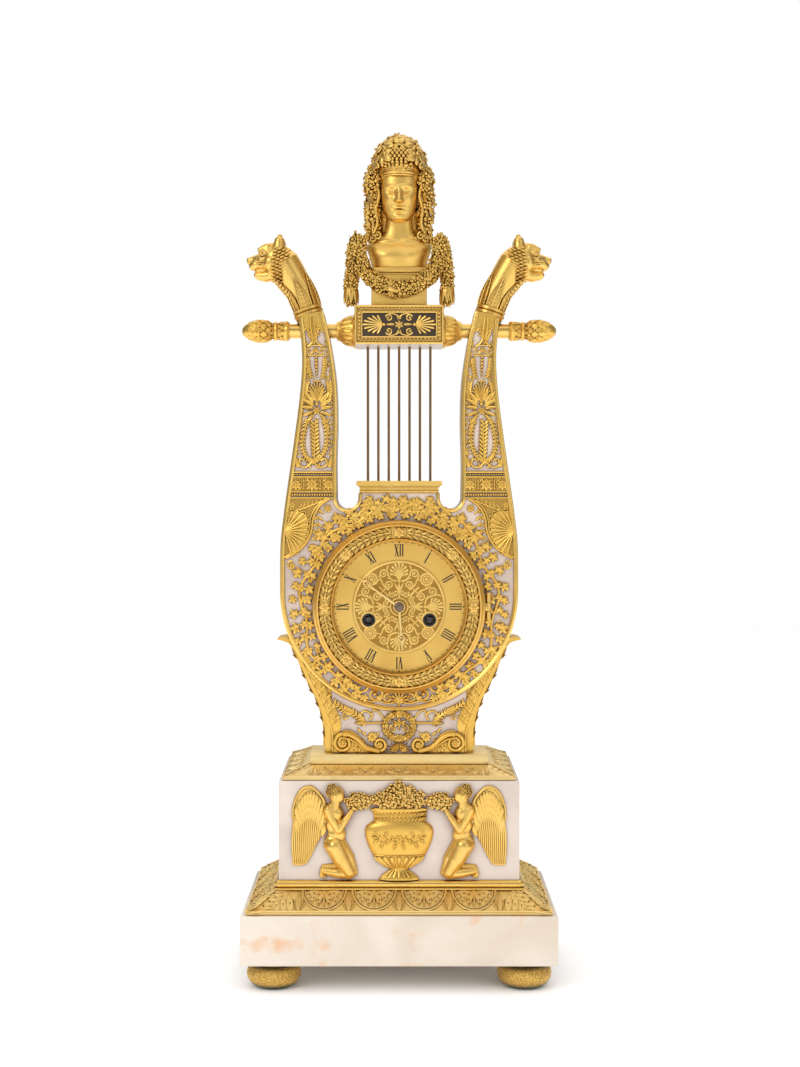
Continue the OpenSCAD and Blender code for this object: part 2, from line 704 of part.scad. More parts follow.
// Brass drum with a slot for the pendulum, and its hinged rear cover
pendulum_set = 9;
pendulum_y = plate_back + pendulum_set;
slot_half = 9;
slot_d = 8;
module drum() color(brass) difference() {
    union() {
        dial_between(lyre_front, drum_back) circle(drum_r);
        outer_knuckles(cover_hinge_x, cover_hinge_y);
        for (s = [-1, 1]) hinge_axis(0, 0)
            translate([drum_r - 1, cover_hinge_y - hinge_r, s * (knuckle + clear) - knuckle / 2])
                cube([cover_hinge_x - drum_r + 1, hinge_r, knuckle]);
    }
    dial_between(lyre_front - 1, drum_back + 1) circle(drum_r - drum_wall);
    knuckle_bore(cover_hinge_x, cover_hinge_y);
    translate([-slot_half, pendulum_y - slot_d / 2, dial_z - drum_r - 2])
        cube([2 * slot_half, slot_d, drum_r / 2]);
}
cover_t = 1.2;
cover_gap = 0.3;
knob_r = 2;
knob_l = 4.5;
knob_inset = 8;
module rear_cover() color(brass) difference() {
    union() {
        dial_between(drum_back + cover_gap, drum_back + cover_gap + cover_t) circle(drum_r);
        hinge_axis(cover_hinge_x, cover_hinge_y) cylinder(h = knuckle, r = hinge_r, center = true);
        hinge_axis(0, 0) translate([drum_r - 5, drum_back + cover_gap, -knuckle / 2])
            cube([cover_hinge_x - drum_r + 5, cover_t, knuckle]);
        hinge_axis(0, 0) translate([cover_hinge_x - 0.3, cover_hinge_y, -knuckle / 2])
            cube([hinge_r + 0.3, drum_back + cover_gap + cover_t - cover_hinge_y, knuckle]);
        bar_y([-drum_r + knob_inset, 0], knob_r, drum_back + cover_gap, drum_back + knob_l);
    }
    knuckle_bore(cover_hinge_x, cover_hinge_y);
}

// Wheel work. Teeth are thin enough to run with backlash at every phase.
pivot_r = 0.7;
arbor_r = 1.2;
fine_pivot_r = 0.4;
fine_arbor_r = 0.5;
wheel_t = 1.5;
function teeth(n, m, half, tip, add, ded, turn) = [
    for (k = [0 : n - 1], q = [[-ded, -half - 0.04], [0, -half], [add, -tip], [add, tip], [0, half],
        [-ded, half + 0.04]])
        (n / 2 + q[0]) * m * [cos(turn + (k + q[1]) * 360 / n), sin(turn + (k + q[1]) * 360 / n)]
];
module wheel_shape(n, m, turn) polygon(teeth(n, m, 0.22, 0.07, 1, 1.25, turn));
module pinion_shape(n, m, turn) polygon(teeth(n, m, 0.17, 0.07, 0.8, 1.3, turn));

// Turn of a gear of nb teeth at b, in mesh with one of na teeth, turned by ta, at a
function mesh_turn(a, na, ta, b, nb) =
    let (line = atan2(b[1] - a[1], b[0] - a[0]))
    line + 180 - (0.5 - (line - ta) * na / 360) * 360 / nb;
// Point at distance ra from a and rb from b, to the left of the line from a to b
function meet(a, ra, b, rb) =
    let (v = b - a, d = norm(v), u = v / d)
    let (s = (ra * ra - rb * rb + d * d) / (2 * d), h = sqrt(ra * ra - s * s))
    a + s * u + h * [-u[1], u[0]];
function reach(m, na, nb) = m * (na + nb) / 2;

great_n = 80;
great_m = 0.48;
great_pinion_n = 10;
second_n = 72;
second_m = 0.4;
centre_pinion_n = 8;
train_n = 72;
train_pinion_n = 6;
centre_m = 0.38;
third_m = 0.33;
pin_n = 64;
pin_m = 0.26;
fly_n = 8;
escape_rise = 24;
anchor_rise = 36.5;
centre_at = [0, 0];
escape_at = [0, escape_rise];
great_reach = reach(great_m, great_n, great_pinion_n);
second_reach = reach(second_m, second_n, centre_pinion_n);
second_at = meet(going_at, great_reach, centre_at, second_reach);
third_at = meet(escape_at, reach(third_m, train_n, train_pinion_n),
    centre_at, reach(centre_m, train_n, train_pinion_n));
strike_turn = 85;
pin_turn = 60;
fly_turn = 100;
strike_wheel_at = strike_at + great_reach * [cos(strike_turn), sin(strike_turn)];
pin_at = strike_wheel_at + second_reach * [cos(pin_turn), sin(pin_turn)];
fly_at = pin_at + reach(pin_m, pin_n, fly_n) * [cos(fly_turn), sin(fly_turn)];
hammer_at = [30, 16];
anchor_at = [0, anchor_rise];

// Layers between the plates, measured back from the front plate
great_set = 2.6;
great_step = 2.2;
barrel_set = 20.6;
second_step = 1.2;
centre_step = 3;
third_step = 2.6;
escape_set = 16;
layer_great = plate_inner + great_set;
layer_strike_great = layer_great + great_step;
barrel_back = plate_inner + barrel_set;
layer_second = barrel_back + second_step;
layer_centre = layer_second + centre_step;
layer_third = layer_centre + third_step;
layer_escape = plate_inner + escape_set;

module wheel_at(p, y, n, m, turn) dial_between(y, y + wheel_t) translate(p) wheel_shape(n, m, turn);
pinion_over = 0.2;
module pinion_at(p, y, n, m, turn)
    dial_between(y - pinion_over, y + wheel_t + pinion_over) translate(p) pinion_shape(n, m, turn);
pivot_end = 0.5;
module arbor(p, r, pivot) {
    bar_y(p, r, plate_inner + clear, plate_inner_back - clear);
    bar_y(p, pivot, plate_front + pivot_end, plate_back - pivot_end);
}
module pivot_holes(points, pivot) for (p = points)
    bar_y(p, pivot + run_gap, plate_front - 1, plate_back + 1);
train_points = [second_at, strike_wheel_at, pin_at];
fine_points = [third_at, escape_at, fly_at];

stud_r = 1;
stud_l = 6.2;
motion_at = [0, -12];
motion_t = 1.4;
motion_y = plate_front - 2.2;
hour_wheel_y = plate_front - 5;
hour_wheel_t = 1.8;
minute_pinion_over = 0.4;
hand_nut_r = 2.4;
hand_nut_t = 1.2;
motion_m = 0.5;
hour_m = 0.48;
cannon_n = 12;
minute_n = 36;
minute_pinion_n = 10;
hour_n = 40;
winder_r = 2.2;
pillar_r = 2.2;
pillar_ring = 41;
plate_room = 0.2;
anchor_hole_r = 3;
pillar_turns = [50, 130, 250, 290];
module front_plate() color(brass) {
    difference() {
        dial_between(plate_front, plate_inner) circle(drum_r - drum_wall - plate_room);
        pivot_holes(concat(train_points, [anchor_at, hammer_at]), pivot_r);
        pivot_holes(fine_points, fine_pivot_r);
        bar_y(centre_at, cannon_r + run_gap, plate_front - 1, plate_inner + 1);
        for (p = [going_at, strike_at]) bar_y(p, winder_r + run_gap, plate_front - 1, plate_inner + 1);
    }
    bar_y(motion_at, stud_r, plate_front - stud_l, plate_front + seat_gap);
}
back_plate_r = 44;
module back_plate() color(brass) difference() {
    dial_between(plate_inner_back, plate_back) circle(back_plate_r);
    pivot_holes(concat(train_points, [centre_at]), pivot_r);
    pivot_holes(fine_points, fine_pivot_r);
    bar_y(anchor_at, anchor_hole_r, plate_inner_back - 1, plate_back + 1);
    bar_y(hammer_at, arbor_r + run_gap, plate_inner_back - 1, plate_back + 1);
    for (p = [going_at, strike_at]) bar_y(p, winder_r + run_gap, plate_inner_back - 1, plate_back + 1);
}
module plate_pillars() color(brass) for (a = pillar_turns)
    bar_y(pillar_ring * [cos(a), sin(a)], pillar_r, plate_inner, plate_inner_back);

// Spring barrels with their great wheels, turning on the winding arbors
barrel_arbor_r = 3;
barrel_wall = 1;
barrel_cap = 1.4;
module barrel(p, layer) color(brass) difference() {
    union() {
        wheel_at(p, layer, great_n, great_m, 0);
        bar_y(p, barrel_r, layer, barrel_back);
    }
    bar_y(p, barrel_arbor_r + run_gap, layer - 1, barrel_back + 1);
    bar_y(p, barrel_r - barrel_wall, layer + wheel_t + barrel_wall, barrel_back - barrel_cap);
}
module going_barrel() barrel(going_at, layer_great);
module strike_barrel() barrel(strike_at, layer_strike_great);
square_half = 1.5;
square_sink = 0.3;
winder_nose = 1.5;
module winder(p) color(steel) {
    bar_y(p, barrel_arbor_r, plate_inner + clear, plate_inner_back - clear);
    bar_y(p, winder_r, plate_front - winder_nose, plate_back + pivot_end);
    dial_between(dial_front + square_sink, plate_front - winder_nose + seat_gap)
        translate(p - [square_half, square_half]) square(2 * square_half);
}
module going_winder() winder(going_at);
module strike_winder() winder(strike_at);

module second_wheel() color(brass) {
    arbor(second_at, arbor_r, pivot_r);
    pinion_at(second_at, layer_great, great_pinion_n, great_m,
        mesh_turn(going_at, great_n, 0, second_at, great_pinion_n));
    wheel_at(second_at, layer_second, second_n, second_m, 0);
}
module centre_wheel() color(brass) {
    bar_y(centre_at, arbor_r, plate_inner - seat_gap, plate_inner_back - clear);
    bar_y(centre_at, pivot_r, plate_inner, plate_back - 0.5);
    bar_y(centre_at, cannon_r, minute_front, plate_inner);
    pinion_at(centre_at, layer_second, centre_pinion_n, second_m,
        mesh_turn(second_at, second_n, 0, centre_at, centre_pinion_n));
    wheel_at(centre_at, layer_centre, train_n, centre_m, 0);
    dial_between(motion_y - pinion_over, motion_y + motion_t + pinion_over)
        pinion_shape(cannon_n, motion_m, 0);
    bar_y(centre_at, hand_nut_r, minute_front - hand_nut_t, minute_front);
}
module third_wheel() color(brass) {
    arbor(third_at, fine_arbor_r, fine_pivot_r);
    pinion_at(third_at, layer_centre, train_pinion_n, centre_m,
        mesh_turn(centre_at, train_n, 0, third_at, train_pinion_n));
    wheel_at(third_at, layer_third, train_n, third_m, 0);
}
escape_n = 38;
escape_r = 8.6;
module escape_wheel() color(brass) {
    arbor(escape_at, fine_arbor_r, fine_pivot_r);
    pinion_at(escape_at, layer_third, train_pinion_n, third_m,
        mesh_turn(third_at, train_n, 0, escape_at, train_pinion_n));
    dial_between(layer_escape, layer_escape + wheel_t) translate(escape_at) polygon([
        for (k = [0 : escape_n - 1], q = [[1.3, 0.1], [0, 0.5], [1.3, 0.6]])
            (escape_r - q[0]) * [cos((k + q[1]) * 360 / escape_n), sin((k + q[1]) * 360 / escape_n)]]);
}
module minute_wheel() color(brass) difference() {
    union() {
        dial_between(motion_y, motion_y + motion_t) translate(motion_at)
            wheel_shape(minute_n, motion_m, mesh_turn(centre_at, cannon_n, 0, motion_at, minute_n));
        dial_between(hour_wheel_y - minute_pinion_over, motion_y) translate(motion_at)
            pinion_shape(minute_pinion_n, hour_m, 0);
    }
    bar_y(motion_at, stud_r + run_gap, plate_front - stud_l - 1, plate_front);
}
module hour_wheel() color(brass) difference() {
    union() {
        dial_between(hour_wheel_y, hour_wheel_y + hour_wheel_t)
            wheel_shape(hour_n, hour_m, mesh_turn(motion_at, minute_pinion_n, 0, centre_at, hour_n));
        bar_y(centre_at, hour_pipe_r, hour_front, hour_wheel_y + hour_wheel_t);
    }
    bar_y(centre_at, cannon_r + run_gap, hour_front - 1, plate_front);
}

// Anchor with its crutch, on a line with the pendulum's pivot
crutch_l = 26;
fork_half = 1.8;
pallet_half = 8;
anchor_drop = escape_rise - anchor_rise;
module anchor() color(steel) {
    bar_y(anchor_at, arbor_r, plate_inner + clear, plate_back + 0.4);
    bar_y(anchor_at, pivot_r, plate_front + 0.5, plate_back + 4.4);
    dial_between(layer_escape, layer_escape + wheel_t) translate(anchor_at) polygon([
        [0, 2.2], [pallet_half, -2.6], [pallet_half + 1, -5.4], [pallet_half - 0.6, -5.2],
        [pallet_half - 2, -3], [0, -1.8], [2 - pallet_half, -3], [0.6 - pallet_half, -5.2],
        [-pallet_half - 1, -5.4], [-pallet_half, -2.6]]);
    dial_between(plate_back + 0.4, plate_back + 1.4) translate(anchor_at) {
        circle(2.4);
        translate([-0.9, -crutch_l]) square([1.8, crutch_l]);
        translate([-fork_half - 0.6, -crutch_l - 1]) square([2 * fork_half + 1.2, 2]);
    }
    for (s = [-1, 1]) bar_y(anchor_at + [s * fork_half, -crutch_l], 0.6, plate_back + 1.4, pendulum_y + 2);
}

// Bridge behind the anchor, with the pin that the pendulum hangs on
cock_half = 12;
cock_foot = 3;
cock_rise = 3;
cock_t = 2.4;
cock_h = 6;
pin_head_r = 1.6;
pin_head_t = 1;
pin_end = 2.4;
module suspension_cock() color(brass) difference() {
    union() {
        dial_between(plate_back + cock_rise, plate_back + cock_rise + cock_t)
            translate(anchor_at + [-cock_half, -cock_h / 2]) square([2 * cock_half, cock_h]);
        for (s = [-1, 1]) dial_between(plate_back, plate_back + cock_rise)
            translate(anchor_at + [s * (cock_half - cock_foot / 2) - cock_foot / 2, -cock_h / 2])
                square([cock_foot, cock_h]);
        bar_y(anchor_at, hinge_pin_r, plate_back + cock_rise + cock_t - clear, pendulum_y + pin_end);
        bar_y(anchor_at, pin_head_r, pendulum_y + pin_end - pin_head_t, pendulum_y + pin_end);
    }
    bar_y(anchor_at, pivot_r + run_gap, plate_back + cock_rise - 1, plate_back + cock_rise + cock_t - 0.6);
}

rod_r = 1;
bob_t = 8;
eye_r = 2.4;
eye_half = 1;
rod_over = 5;
rating_r = 2.6;
rating_h = 3;
module pendulum() color(brass) difference() {
    union() {
        bar_y(anchor_at, eye_r, pendulum_y - eye_half, pendulum_y + eye_half);
        translate([0, pendulum_y, dial_z + anchor_rise - pendulum_l - bob_r - rod_over])
            cylinder(h = pendulum_l + bob_r + rod_over - eye_r + 0.8, r = rod_r);
        translate([0, pendulum_y, dial_z + anchor_rise - pendulum_l]) rotate([90, 0, 0])
            rotate_extrude() intersection() {
                scale([1, bob_t / 2 / bob_r]) circle(bob_r);
                translate([0, -bob_t]) square([bob_r, 2 * bob_t]);
            }
        translate([0, pendulum_y, dial_z + anchor_rise - pendulum_l - bob_r - rating_h])
            cylinder(h = rating_h, r = rating_r);
    }
    bar_y(anchor_at, hinge_pin_r + run_gap, pendulum_y - 2, pendulum_y + 2);
}

// Striking train: second wheel, pin wheel and fly, then the hammer, bell and stand
module strike_wheel() color(brass) {
    arbor(strike_wheel_at, arbor_r, pivot_r);
    pinion_at(strike_wheel_at, layer_strike_great, great_pinion_n, great_m,
        mesh_turn(strike_at, great_n, 0, strike_wheel_at, great_pinion_n));
    wheel_at(strike_wheel_at, layer_second, second_n, second_m, 0);
}
lift_pins = 10;
lift_ring = 6.6;
lift_pin_r = 0.5;
lift_pin_l = 2;
pin_arbor_r = 1;
module pin_wheel() color(brass) {
    arbor(pin_at, pin_arbor_r, pivot_r);
    pinion_at(pin_at, layer_second, centre_pinion_n, second_m,
        mesh_turn(strike_wheel_at, second_n, 0, pin_at, centre_pinion_n));
    wheel_at(pin_at, layer_centre, pin_n, pin_m, 0);
    for (k = [0 : lift_pins - 1])
        bar_y(pin_at + lift_ring * [cos(k * 360 / lift_pins), sin(k * 360 / lift_pins)], lift_pin_r,
            layer_centre + wheel_t - seat_gap, layer_centre + wheel_t + lift_pin_l);
}
fly_half = 4;
fly_t = 1.4;
fly_set = 2;
fly_l = 10;
module fly() color(brass) {
    arbor(fly_at, fine_arbor_r, fine_pivot_r);
    pinion_at(fly_at, layer_centre, fly_n, pin_m,
        mesh_turn(pin_at, pin_n, 0, fly_at, fly_n));
    dial_between(plate_inner + fly_set, plate_inner + fly_set + fly_l)
        translate(fly_at - [fly_half, fly_t / 2]) square([2 * fly_half, fly_t]);
}

bell_set = 13;
bell_h = 12;
bell_mouth = plate_back + bell_set;
bell_back = bell_mouth + bell_h;
bell_t = 1.5;
hammer_r = 2.6;
hammer_gap = 0.6;
hammer_turn = 45;
hammer_head = (bell_r + hammer_r + hammer_gap) * [cos(hammer_turn), sin(hammer_turn)];
module hammer() color(steel) {
    bar_y(hammer_at, arbor_r, plate_inner + clear, bell_mouth + 3);
    bar_y(hammer_at, pivot_r, plate_front + 0.5, plate_inner + 1);
    dial_between(bell_mouth + 1, bell_mouth + 2.4) hull() {
        translate(hammer_at) circle(2, $fn = 24);
        translate(hammer_head) circle(1.4, $fn = 24);
    }
    bar_y(hammer_head, hammer_r, bell_mouth + 0.4, bell_mouth + 5);
}
module bell() color(brass) translate([0, 0, dial_z]) rotate([90, 0, 0]) rotate_extrude()
    polygon([[1.4, -bell_back], [bell_r * 0.6, -bell_back], [bell_r * 0.88, -bell_back + 3],
        [bell_r - 1, -bell_mouth - 3], [bell_r, -bell_mouth], [bell_r - bell_t, -bell_mouth],
        [bell_r - 1 - bell_t, -bell_mouth - 3], [bell_r * 0.88 - bell_t, -bell_back + 3 + bell_t / 2],
        [bell_r * 0.6, -bell_back + bell_t], [1.4, -bell_back + bell_t]]);
post_at = [24.6, -12];
post_r = 1.8;
module bell_stand() color(brass) {
    bar_y(post_at, post_r, plate_back, bell_back + 2.2);
    dial_between(bell_back + 0.2, bell_back + 2.2) hull() {
        translate(post_at) circle(2.2, $fn = 24);
        circle(2.4, $fn = 24);
    }
    bar_y(centre_at, 1.3, bell_back - bell_t - 1.4, bell_back + 1);
    bar_y(centre_at, 2.4, bell_back - bell_t - 1.6, bell_back - bell_t - 0.1);
}

base_slab();
bun_feet();
base_moulding();
plinth_block();
plinth_cap();
step_slab();
genii();
urn_relief();
tie_rods();
lyre_body();
left_arm();
right_arm();
lyre_edging();
pierced_surround();
arm_mounts();
foot_mount();
side_leaves();
string_bridge();
strings();
crossbar();
cups();
finials();
left_lion();
right_lion();
top_block();
block_frame();
bust();
garland();
bezel_seat();
bezel();
hinge_pins();
bezel_glass();
dial();
dial_medallion();
minute_hand();
hour_hand();
drum();
rear_cover();
front_plate();
back_plate();
plate_pillars();
going_barrel();
going_winder();
strike_barrel();
strike_winder();
second_wheel();
centre_wheel();
third_wheel();
escape_wheel();
minute_wheel();
hour_wheel();
anchor();
pendulum();
suspension_cock();
strike_wheel();
pin_wheel();
fly();
hammer();
bell();
bell_stand();
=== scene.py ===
import math
import random

import bmesh
import bpy
from mathutils import Matrix, Vector


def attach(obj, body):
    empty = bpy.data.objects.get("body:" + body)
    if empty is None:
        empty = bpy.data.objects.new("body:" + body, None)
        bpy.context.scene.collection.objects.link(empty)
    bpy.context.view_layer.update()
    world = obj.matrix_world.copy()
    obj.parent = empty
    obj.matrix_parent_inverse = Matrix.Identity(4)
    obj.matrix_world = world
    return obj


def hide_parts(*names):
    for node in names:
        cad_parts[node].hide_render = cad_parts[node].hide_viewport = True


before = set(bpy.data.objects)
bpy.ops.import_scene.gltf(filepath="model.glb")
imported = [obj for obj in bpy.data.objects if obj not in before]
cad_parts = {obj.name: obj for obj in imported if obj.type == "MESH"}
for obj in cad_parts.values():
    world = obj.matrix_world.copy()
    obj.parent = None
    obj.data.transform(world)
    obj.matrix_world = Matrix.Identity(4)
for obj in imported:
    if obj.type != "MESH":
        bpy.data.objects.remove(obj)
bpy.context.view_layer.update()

# The clock stands on a pale table under soft studio light, and is seen from the front, a little
# above the middle of the lyre. Lengths in this file are in millimetres until a piece is finished.
CAMERA_SPOT, CAMERA_DROP = (0.0006, -1.170, 0.3324), 1.49
FILM_WIDTH, FOCAL_LENGTH = 36, 56.8
TABLE_HALF = 3
REFLECTED_WHITE = 0.36
scene = bpy.context.scene
scene.view_settings.view_transform = "Standard"
camera = bpy.data.objects.new("camera", bpy.data.cameras.new("camera"))
camera.data.sensor_width = FILM_WIDTH
camera.data.lens = FOCAL_LENGTH
camera.location = CAMERA_SPOT
camera.rotation_euler = (math.radians(90 - CAMERA_DROP), 0, 0)
scene.collection.objects.link(camera)
scene.camera = camera


def wire(tree, node, sockets):
    for socket, value in sockets.items():
        if isinstance(value, bpy.types.NodeSocket):
            tree.links.new(value, node.inputs[socket])
        else:
            node.inputs[socket].default_value = value


def blank(name):
    material = bpy.data.materials.new(name)
    material.use_nodes = True
    return material, material.node_tree


def coat(material, sockets):
    tree = material.node_tree
    wire(tree, tree.nodes["Principled BSDF"], sockets)
    return material


def noise(tree, scale, detail=2, distortion=0):
    place = tree.nodes.new("ShaderNodeTexCoord")
    cloud = tree.nodes.new("ShaderNodeTexNoise")
    wire(tree, cloud, {"Vector": place.outputs["Object"], "Scale": scale, "Detail": detail, "Distortion": distortion})
    return cloud.outputs["Fac"]


def tint(tree, share, first, last):
    mix = tree.nodes.new("ShaderNodeMix")
    mix.data_type = "RGBA"
    first, last = ((*c, 1) if isinstance(c, tuple) else c for c in (first, last))
    wire(tree, mix, {0: share, 6: first, 7: last})
    return mix.outputs[2]


def as_mesh(bm, name="shape"):
    mesh = bpy.data.meshes.new(name)
    bm.to_mesh(mesh)
    bm.free()
    return mesh


table_cloth, tree = blank("pale_table")
coat(table_cloth, {"Roughness": 0.9, "Specular IOR Level": 0.1,
                   "Base Color": tint(tree, noise(tree, 40), (0.96, 0.96, 0.96), (1.0, 1.0, 1.0))})
table_shape = bmesh.new()
bmesh.ops.create_grid(table_shape, x_segments=4, y_segments=4, size=TABLE_HALF)
table = bpy.data.objects.new("table", as_mesh(table_shape, "table"))
table.data.materials.append(table_cloth)
scene.collection.objects.link(table)

world = bpy.data.worlds.new("studio")
scene.world = world
world.use_nodes = True
sky = world.node_tree
sky.nodes.clear()
SKY_NODES = ("OutputWorld", "MixShader", "Background", "Background", "LightPath")
sky_out, sky_mix, sky_white, sky_dim, sky_path = (sky.nodes.new("ShaderNode" + kind) for kind in SKY_NODES)
wire(sky, sky_white, {"Color": (1, 1, 1, 1)})
wire(sky, sky_dim, {"Strength": REFLECTED_WHITE})
wire(sky, sky_mix, {"Fac": sky_path.outputs["Is Glossy Ray"], 1: sky_white.outputs[0], 2: sky_dim.outputs[0]})
wire(sky, sky_out, {"Surface": sky_mix.outputs[0]})
for lamp_name, spot, aim, size, watts in (
    ("key_lamp", (-1.3, -1.6, 1.5), (0, 0, 0.28), 0.9, 11.5),
    ("fill_lamp", (1.5, -1.5, 0.9), (0, 0, 0.28), 1.3, 4.5),
    ("top_lamp", (0.1, -0.5, 1.9), (0, 0, 0.2), 2.0, 9),
    ("front_lamp", (0.0, -2.3, 0.5), (0, 0, 0.3), 0.9, 1.6),
    ("back_lamp", (0.0, 1.4, 1.75), (0, 0, 0.25), 2.4, 16),
):
    lamp = bpy.data.objects.new(lamp_name, bpy.data.lights.new(lamp_name, "AREA"))
    lamp.data.size = size
    lamp.data.energy = watts
    lamp.location = spot
    lamp.rotation_euler = (Vector(aim) - Vector(spot)).to_track_quat("-Z", "Y").to_euler()
    lamp.visible_diffuse = lamp_name != "back_lamp"
    scene.collection.objects.link(lamp)

# Bun feet: four squat turned balls of fire-gilt bronze under the corners of the base.
# They are matted all over, with a plain fillet where each is screwed to the stone.
FOOT_X, FOOT_Y = 84, 47
COARSE_PITCH = 2000
MERGE, METRES = 0.0004, 0.001


def ramp(tree, value, low=0, high=1, first=0, last=1):
    span = tree.nodes.new("ShaderNodeMapRange")
    wire(tree, span, {"Value": value, "From Min": low, "From Max": high, "To Min": first, "To Max": last})
    return span.outputs["Result"]


# Share of open surroundings from an AO node; the materials below use it to paint shade into hollows and corners.
def open_share(tree, reach, low, high):
    hollows = tree.nodes.new("ShaderNodeAmbientOcclusion")
    hollows.samples = 6
    wire(tree, hollows, {"Distance": reach})
    return ramp(tree, hollows.outputs["AO"], low, high)


def dents(tree, height, strength, depth):
    bump = tree.nodes.new("ShaderNodeBump")
    wire(tree, bump, {"Height": height, "Strength": strength, "Distance": depth})
    return bump.outputs["Normal"]


# A gilding's darkest colour is laid into its hollows and corners: a dark patina, deepened by painted shade.
def gilding(name, light, deep, rough, grain=0.00012, hollow=0.003, patina_and_shade=(0.12, 0.05, 0.008), pitch=2600, clear=0.82):
    material, tree = blank(name)
    cloud, stipple = noise(tree, 55, 6), noise(tree, pitch, 3)
    tone = tint(tree, ramp(tree, stipple, 0.42, 0.58) if pitch < COARSE_PITCH else cloud, deep, light)
    return coat(material, {"Metallic": 1.0,
                           # Hollows and corners are darkened toward the darkest colour: patina with painted shade
                           # over it.
                           "Base Color": tint(tree, open_share(tree, hollow, 0.16, clear), patina_and_shade, tone),
                           "Roughness": ramp(tree, cloud, first=rough + 0.12, last=max(rough - 0.08, 0.08)),
                           "Normal": dents(tree, stipple, 0.5, grain)})


matte_gilt = gilding("matte_gilt", (0.95, 0.62, 0.16), (0.80, 0.46, 0.08), 0.34, hollow=0.0024, clear=0.92)
bright_gilt = gilding("burnished_gilt", (0.97, 0.67, 0.21), (0.85, 0.515, 0.115), 0.25, grain=0.00003)
chased_gilt = gilding("chased_gilt", (0.97, 0.66, 0.20), (0.86, 0.52, 0.12), 0.33, 0.00008, 0.0017,
                      (0.15, 0.065, 0.01), clear=0.96)


def put(bm, mesh, matrix=Matrix.Identity(4)):
    copy = mesh.copy()
    copy.transform(matrix)
    bm.from_mesh(copy)
    bpy.data.meshes.remove(copy)


def mount(name, bm, material, nodes=(), body="case", crease=40):
    bmesh.ops.remove_doubles(bm, verts=bm.verts, dist=MERGE)
    bmesh.ops.recalc_face_normals(bm, faces=bm.faces)
    bmesh.ops.scale(bm, vec=(METRES, METRES, METRES), verts=bm.verts)
    mesh = as_mesh(bm, name)
    mesh.polygons.foreach_set("use_smooth", [True] * len(mesh.polygons))
    mesh.set_sharp_from_angle(angle=math.radians(crease))
    mesh.materials.append(material)
    piece = bpy.data.objects.new(name, mesh)
    scene.collection.objects.link(piece)
    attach(piece, body)
    if nodes:
        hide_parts(*nodes)
    return piece


def turned(profile, steps=48):
    bm = bmesh.new()
    corners = [bm.verts.new((r, 0, z)) for r, z in profile]
    edges = [bm.edges.new(pair) for pair in zip(corners, corners[1:])]
    bmesh.ops.spin(bm, geom=corners + edges, axis=(0, 0, 1), cent=(0, 0, 0), steps=steps,
                   angle=math.tau, use_merge=True)
    bmesh.ops.remove_doubles(bm, verts=bm.verts, dist=0.0005)
    bmesh.ops.recalc_face_normals(bm, faces=bm.faces)
    return as_mesh(bm)


foot_profile = [(0, 0), (9, 0), (12, 0.5), (15.4, 2.6), (17.8, 6.2), (18.4, 9.2), (17.6, 12.4), (15.4, 14.9),
                (13.6, 15.6), (13.9, 16.2), (13.9, 18), (0, 18)]
feet = bmesh.new()
foot_form = turned(foot_profile, 56)
for x in (-FOOT_X, FOOT_X):
    for y in (-FOOT_Y, FOOT_Y):
        put(feet, foot_form, Matrix.Translation((x, y, 0)))
# The feet's hollows, next to the slab, go green-black: verdigris with painted shade.
foot_gilt = gilding("stippled_gilt", (0.90, 0.60, 0.17), (0.50, 0.28, 0.06), 0.40, 0.0016, 0.006, (0.09, 0.11, 0.07),
                    1300)
mount("gilt_bun_feet", feet, foot_gilt, ["bun_feet"])

# Base slab: one sawn and polished block of warm, faintly rusty alabaster.
# Its arrises are rubbed off by hand, and it carries the whole clock on four feet.
def alabaster(name, pale, cloudy, rust_amount, scale=14, painted_shade=(0.20, 0.12, 0.08)):
    material, tree = blank(name)
    tone = tint(tree, ramp(tree, noise(tree, scale, 7, 0.9), 0.36, 0.64), pale, cloudy)
    spots = ramp(tree, noise(tree, 46, 5), 0.585, 0.76, last=rust_amount)
    rusty = tint(tree, spots, tone, (0.70, 0.35, 0.13))
    return coat(material, {"Roughness": 0.34, "Specular IOR Level": 0.42,
                           "Subsurface Weight": 0.12, "Subsurface Radius": (0.004, 0.003, 0.002),
                           # Stone near the mounts and in corners is darkened toward a brown: painted shade.
                           "Base Color": tint(tree, open_share(tree, 0.006, 0.22, 0.88), painted_shade, rusty),
                           "Normal": dents(tree, noise(tree, 300, 4), 0.12, 0.0002)})


warm_alabaster = alabaster("warm_alabaster", (0.735, 0.655, 0.565), (0.63, 0.535, 0.435), 0.85, 13)
grey_alabaster = alabaster("grey_alabaster", (0.69, 0.60, 0.525), (0.55, 0.465, 0.41), 0.16, 16)


def block(low, high, round_off=0.8):
    bm = bmesh.new()
    bmesh.ops.create_cube(bm, size=1)
    size = [b - a for a, b in zip(low, high)]
    middle = [(a + b) / 2 for a, b in zip(low, high)]
    bmesh.ops.scale(bm, vec=size, verts=bm.verts)
    bmesh.ops.translate(bm, vec=middle, verts=bm.verts)
    bmesh.ops.bevel(bm, geom=bm.edges[:], offset=round_off, offset_type="OFFSET", affect="EDGES",
                    segments=3, profile=0.5, material=-1, clamp_overlap=True)
    return as_mesh(bm)


SLAB_HALF, SLAB_DEEP, SLAB_Z, SLAB_TOP = 105, 68, 18, 51
slab = bmesh.new()
put(slab, block((-SLAB_HALF, -SLAB_DEEP, SLAB_Z), (SLAB_HALF, SLAB_DEEP, SLAB_TOP), 0.9))
mount("alabaster_base", slab, warm_alabaster, ["base_slab"])

